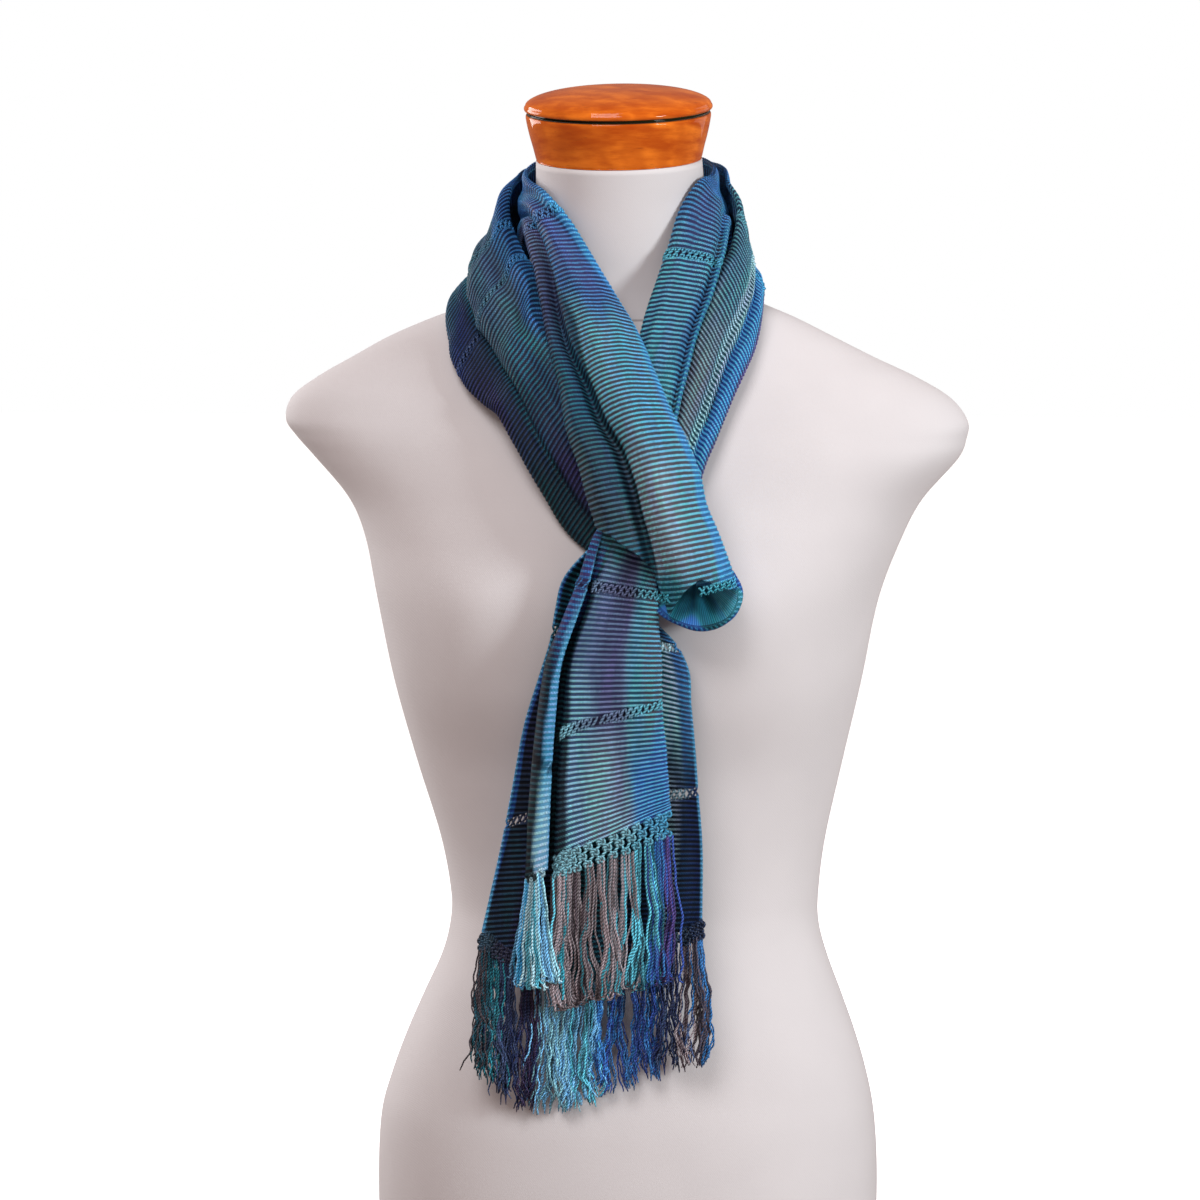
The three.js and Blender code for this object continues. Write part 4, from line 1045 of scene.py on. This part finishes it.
def fringe(name, cloth, hem, start, end, columns, per, fall, table, seed, node, bands, knot_rows=3,
           lean=0.0, curl=3.4, looped=False, radius=0.7, spread=1.6, crinkle=0.3, stations=26):
    """A knotted heading of columns knots with per yarns to a knot; fall is their length across."""
    rng = np.random.default_rng(seed)
    parts = Parts()
    p = knots(parts, cloth, hem, start, end, columns, knot_rows, bands, rng)
    off = rng.normal(0, 1, (columns * per, 3)) * (spread * 0.4, 0.5, 0.5)
    base = np.repeat(p, per, 0) + off
    share = (np.repeat(np.arange(columns), per) + rng.random(columns * per)) / columns
    shortest = 0.965 if looped else 0.9
    falls = straight(fall, share * (len(fall) - 1)) * rng.uniform(shortest, 1.03, len(share))
    group = np.repeat(rng.normal(0, 2.0, columns), per)
    middle = (base[:, 0].max() + base[:, 0].min()) / 2
    leans = group + (base[:, 0] - middle) * lean + off[:, 0] * 1.4 + rng.normal(0, 0.9, len(share))
    if not looped:
        leans += np.where(rng.random(len(share)) < 0.06, rng.normal(0, 6, len(share)), 0)
    bundle = np.repeat(np.arange(columns), per)
    paths = wavy(base, falls, rng, leans, curl, bundle, crinkle, stations)
    if looped:
        # the yarns' ends turn back in a small loop
        bend = np.clip((np.linspace(0, 1, stations) - 0.93) / 0.07, 0, 1)[None, :]
        side = np.where(rng.random(len(share)) < 0.5, -1.0, 1.0)[:, None]
        paths[:, :, 0] += side * 2.2 * bend**1.5
        paths[:, :, 2] += 3.2 * bend**2
    taper = np.concatenate([np.full(stations - 2, 1.0), [0.92, 0.6]])
    tint, shade = coloured(table, share, rng)
    wide = radius * rng.uniform(0.85, 1.12, (len(share), 1)) * taper[None, :]
    tubes(parts, paths, wide, tint[:, None], shade[:, None])
    return stand_in(parts.object(name), node)


def scarf():
    front, back, turn = Cloth(FRONT_HALF, FRONT_PROFILES), Cloth(BACK_HALF, BACK_PROFILES), Mouth()
    for cloth in (front, back, turn):
        cloth.measure()
    # openwork rows: the row at the left and right edge, and whether it is open to what lies behind
    front.open = [(12.5, 12.5, False), (23.05, 23.05, False), (31.1, 31.1, False), (33.62, 34.82, False)]
    back.open = [(9.7, 9.7, False), (12.7, 10.6, False), (20.2, 20.2, False), (32.1, 32.7, True),
                 (35.9, 36.6, True)]
    turn.open = []
    hem = [v + 0.05 for v in BACK_END_HEM]
    loops = [(0.8, 0.67, 0.81), (0.75, 0.5, 0.57)]
    for name, cloth, first, last, node, slot in (
        ("loop_front_cloth", front, LOOP_FRONT_END, 14, "loop_front", "woven_teal"),
        ("neck_inner_cloth", front, 14, 20, "neck_wrap_inner", "woven_blue"),
        ("strand_inner_cloth", front, 20, 30, "strand_inner", "woven_teal"),
        ("front_end_cloth", front, 30, FRONT_END_HEM, "front_end", "woven_teal"),
        ("loop_back_cloth", back, 0.05, 13, "loop_back", "woven_blue"),
        ("neck_outer_cloth", back, 13, 19, "neck_wrap_outer", "woven_blue"),
        ("strand_outer_cloth", back, 19, 29, "strand_outer", "woven_teal"),
        ("back_end_cloth", back, 29, hem, "back_end", "woven_blue"),
    ):
        bands, seed = (FRONT_DYES_AND_SHADE, 0.1) if cloth is front else (BACK_DYES_AND_SHADE, 0.6)
        stretch(name, cloth, bands, seed, first, last, node,
                             loops=loops if node == "loop_front" else ())
    stretch("loop_turn_cloth", turn, TURN_DYES_AND_SHADE, 0.3, 0, 2.96, "loop_turn",
                                      relief_share=0.3, turned=True)
    front_fringe = fringe("front_fringe_yarn", front, FRONT_END_HEM, 0.18, 0.6, 13, 14,
                          [84, 83, 80, 78, 76], FRONT_YARNS, 11, "front_fringe", FRONT_DYES_AND_SHADE,
                          looped=True, radius=0.68, spread=2.9)
    side_fringe = fringe("side_fringe_yarn", front, 37.0, 0.78, 0.99, 4, 14, [60, 64, 62], SIDE_YARNS,
                         12, "side_fringe", FRONT_DYES_AND_SHADE, knot_rows=1, lean=1.7, curl=1.5, looped=True)
    back_fringe = fringe("back_fringe_yarn", back, hem, 0.01, 0.99, 30, 13,
                         [72, 70, 66, 68, 76, 78, 72, 66], BACK_YARNS, 13, "back_fringe", BACK_DYES_AND_SHADE,
                         lean=0.08, radius=0.52, spread=2.2, crinkle=0.6, stations=27)


# Camera, light and floor
def studio():
    scene = bpy.context.scene
    scene.view_settings.view_transform = "Standard"
    scene.view_settings.look = "None"
    data = bpy.data.cameras.new("camera")
    camera = bpy.data.objects.new("camera", data)
    scene.collection.objects.link(camera)
    back = Vector(TO_CAMERA)
    data.lens, data.sensor_width = LENS, SENSOR
    camera.location = Vector(TARGET) + back * DISTANCE
    camera.rotation_mode = "QUATERNION"
    camera.rotation_quaternion = (-back).to_track_quat("-Z", "Y")
    scene.camera = camera

    floor = Nodes(bpy.data.materials.new("pale_floor"))
    speck = floor.noise(floor.add("ShaderNodeTexCoord").outputs["Object"], 3.0)
    pale = floor.mix((0.9, 0.9, 0.9, 1), (0.93, 0.93, 0.93, 1), speck)
    mesh = bpy.data.meshes.new("floor")
    mesh.from_pydata([(-12, -12, 0), (12, -12, 0), (12, 12, 0), (-12, 12, 0)], [], [(0, 1, 2, 3)])
    mesh.materials.append(floor.done(Base_Color=pale, Roughness=0.9, Emission_Color=(1, 1, 1, 1),
                                     Emission_Strength=0.9))
    plane = bpy.data.objects.new("floor", mesh)
    plane.location.z = -0.0005
    scene.collection.objects.link(plane)
    plane.visible_diffuse, plane.visible_glossy = False, False

    # the camera sees a white world, and the part a dimmer, warmer one
    world = Nodes(bpy.data.worlds.new("studio"), "Background")
    camera_ray = world.add("ShaderNodeLightPath").outputs["Is Camera Ray"]
    tone = world.mix((1.0, 0.76, 0.69, 1), (1, 1, 1, 1), camera_ray)
    level = world.add("ShaderNodeMapRange", {0: camera_ray, 3: 0.36, 4: 1.0}).outputs[0]
    scene.world = world.done(Color=tone, Strength=level)

    for name, place, size, power, colour in (
        ("key", (2.3, -1.45, 1.0), 0.6, 55, (0.94, 0.985, 1.0)),
        ("fill", (-0.4, -1.8, 2.2), 1.2, 38, (1.0, 0.95, 0.945)),
        ("rim", (-1.5, 0.9, 0.9), 1.0, 22, (1.0, 1.0, 1.0)),
        ("rim_right", (1.5, 1.3, 0.9), 1.2, 4, (1.0, 1.0, 1.0)),
    ):
        light = bpy.data.lights.new(name, "AREA")
        light.shape, light.size, light.energy, light.color = "SQUARE", size, power, colour
        obj = bpy.data.objects.new(name, light)
        obj.location = place
        obj.rotation_mode = "QUATERNION"
        obj.rotation_quaternion = (Vector((0, 0, 0.42)) - Vector(place)).to_track_quat("-Z", "Y")
        scene.collection.objects.link(obj)


studio()
dress_form()
neck_cap()
scarf()
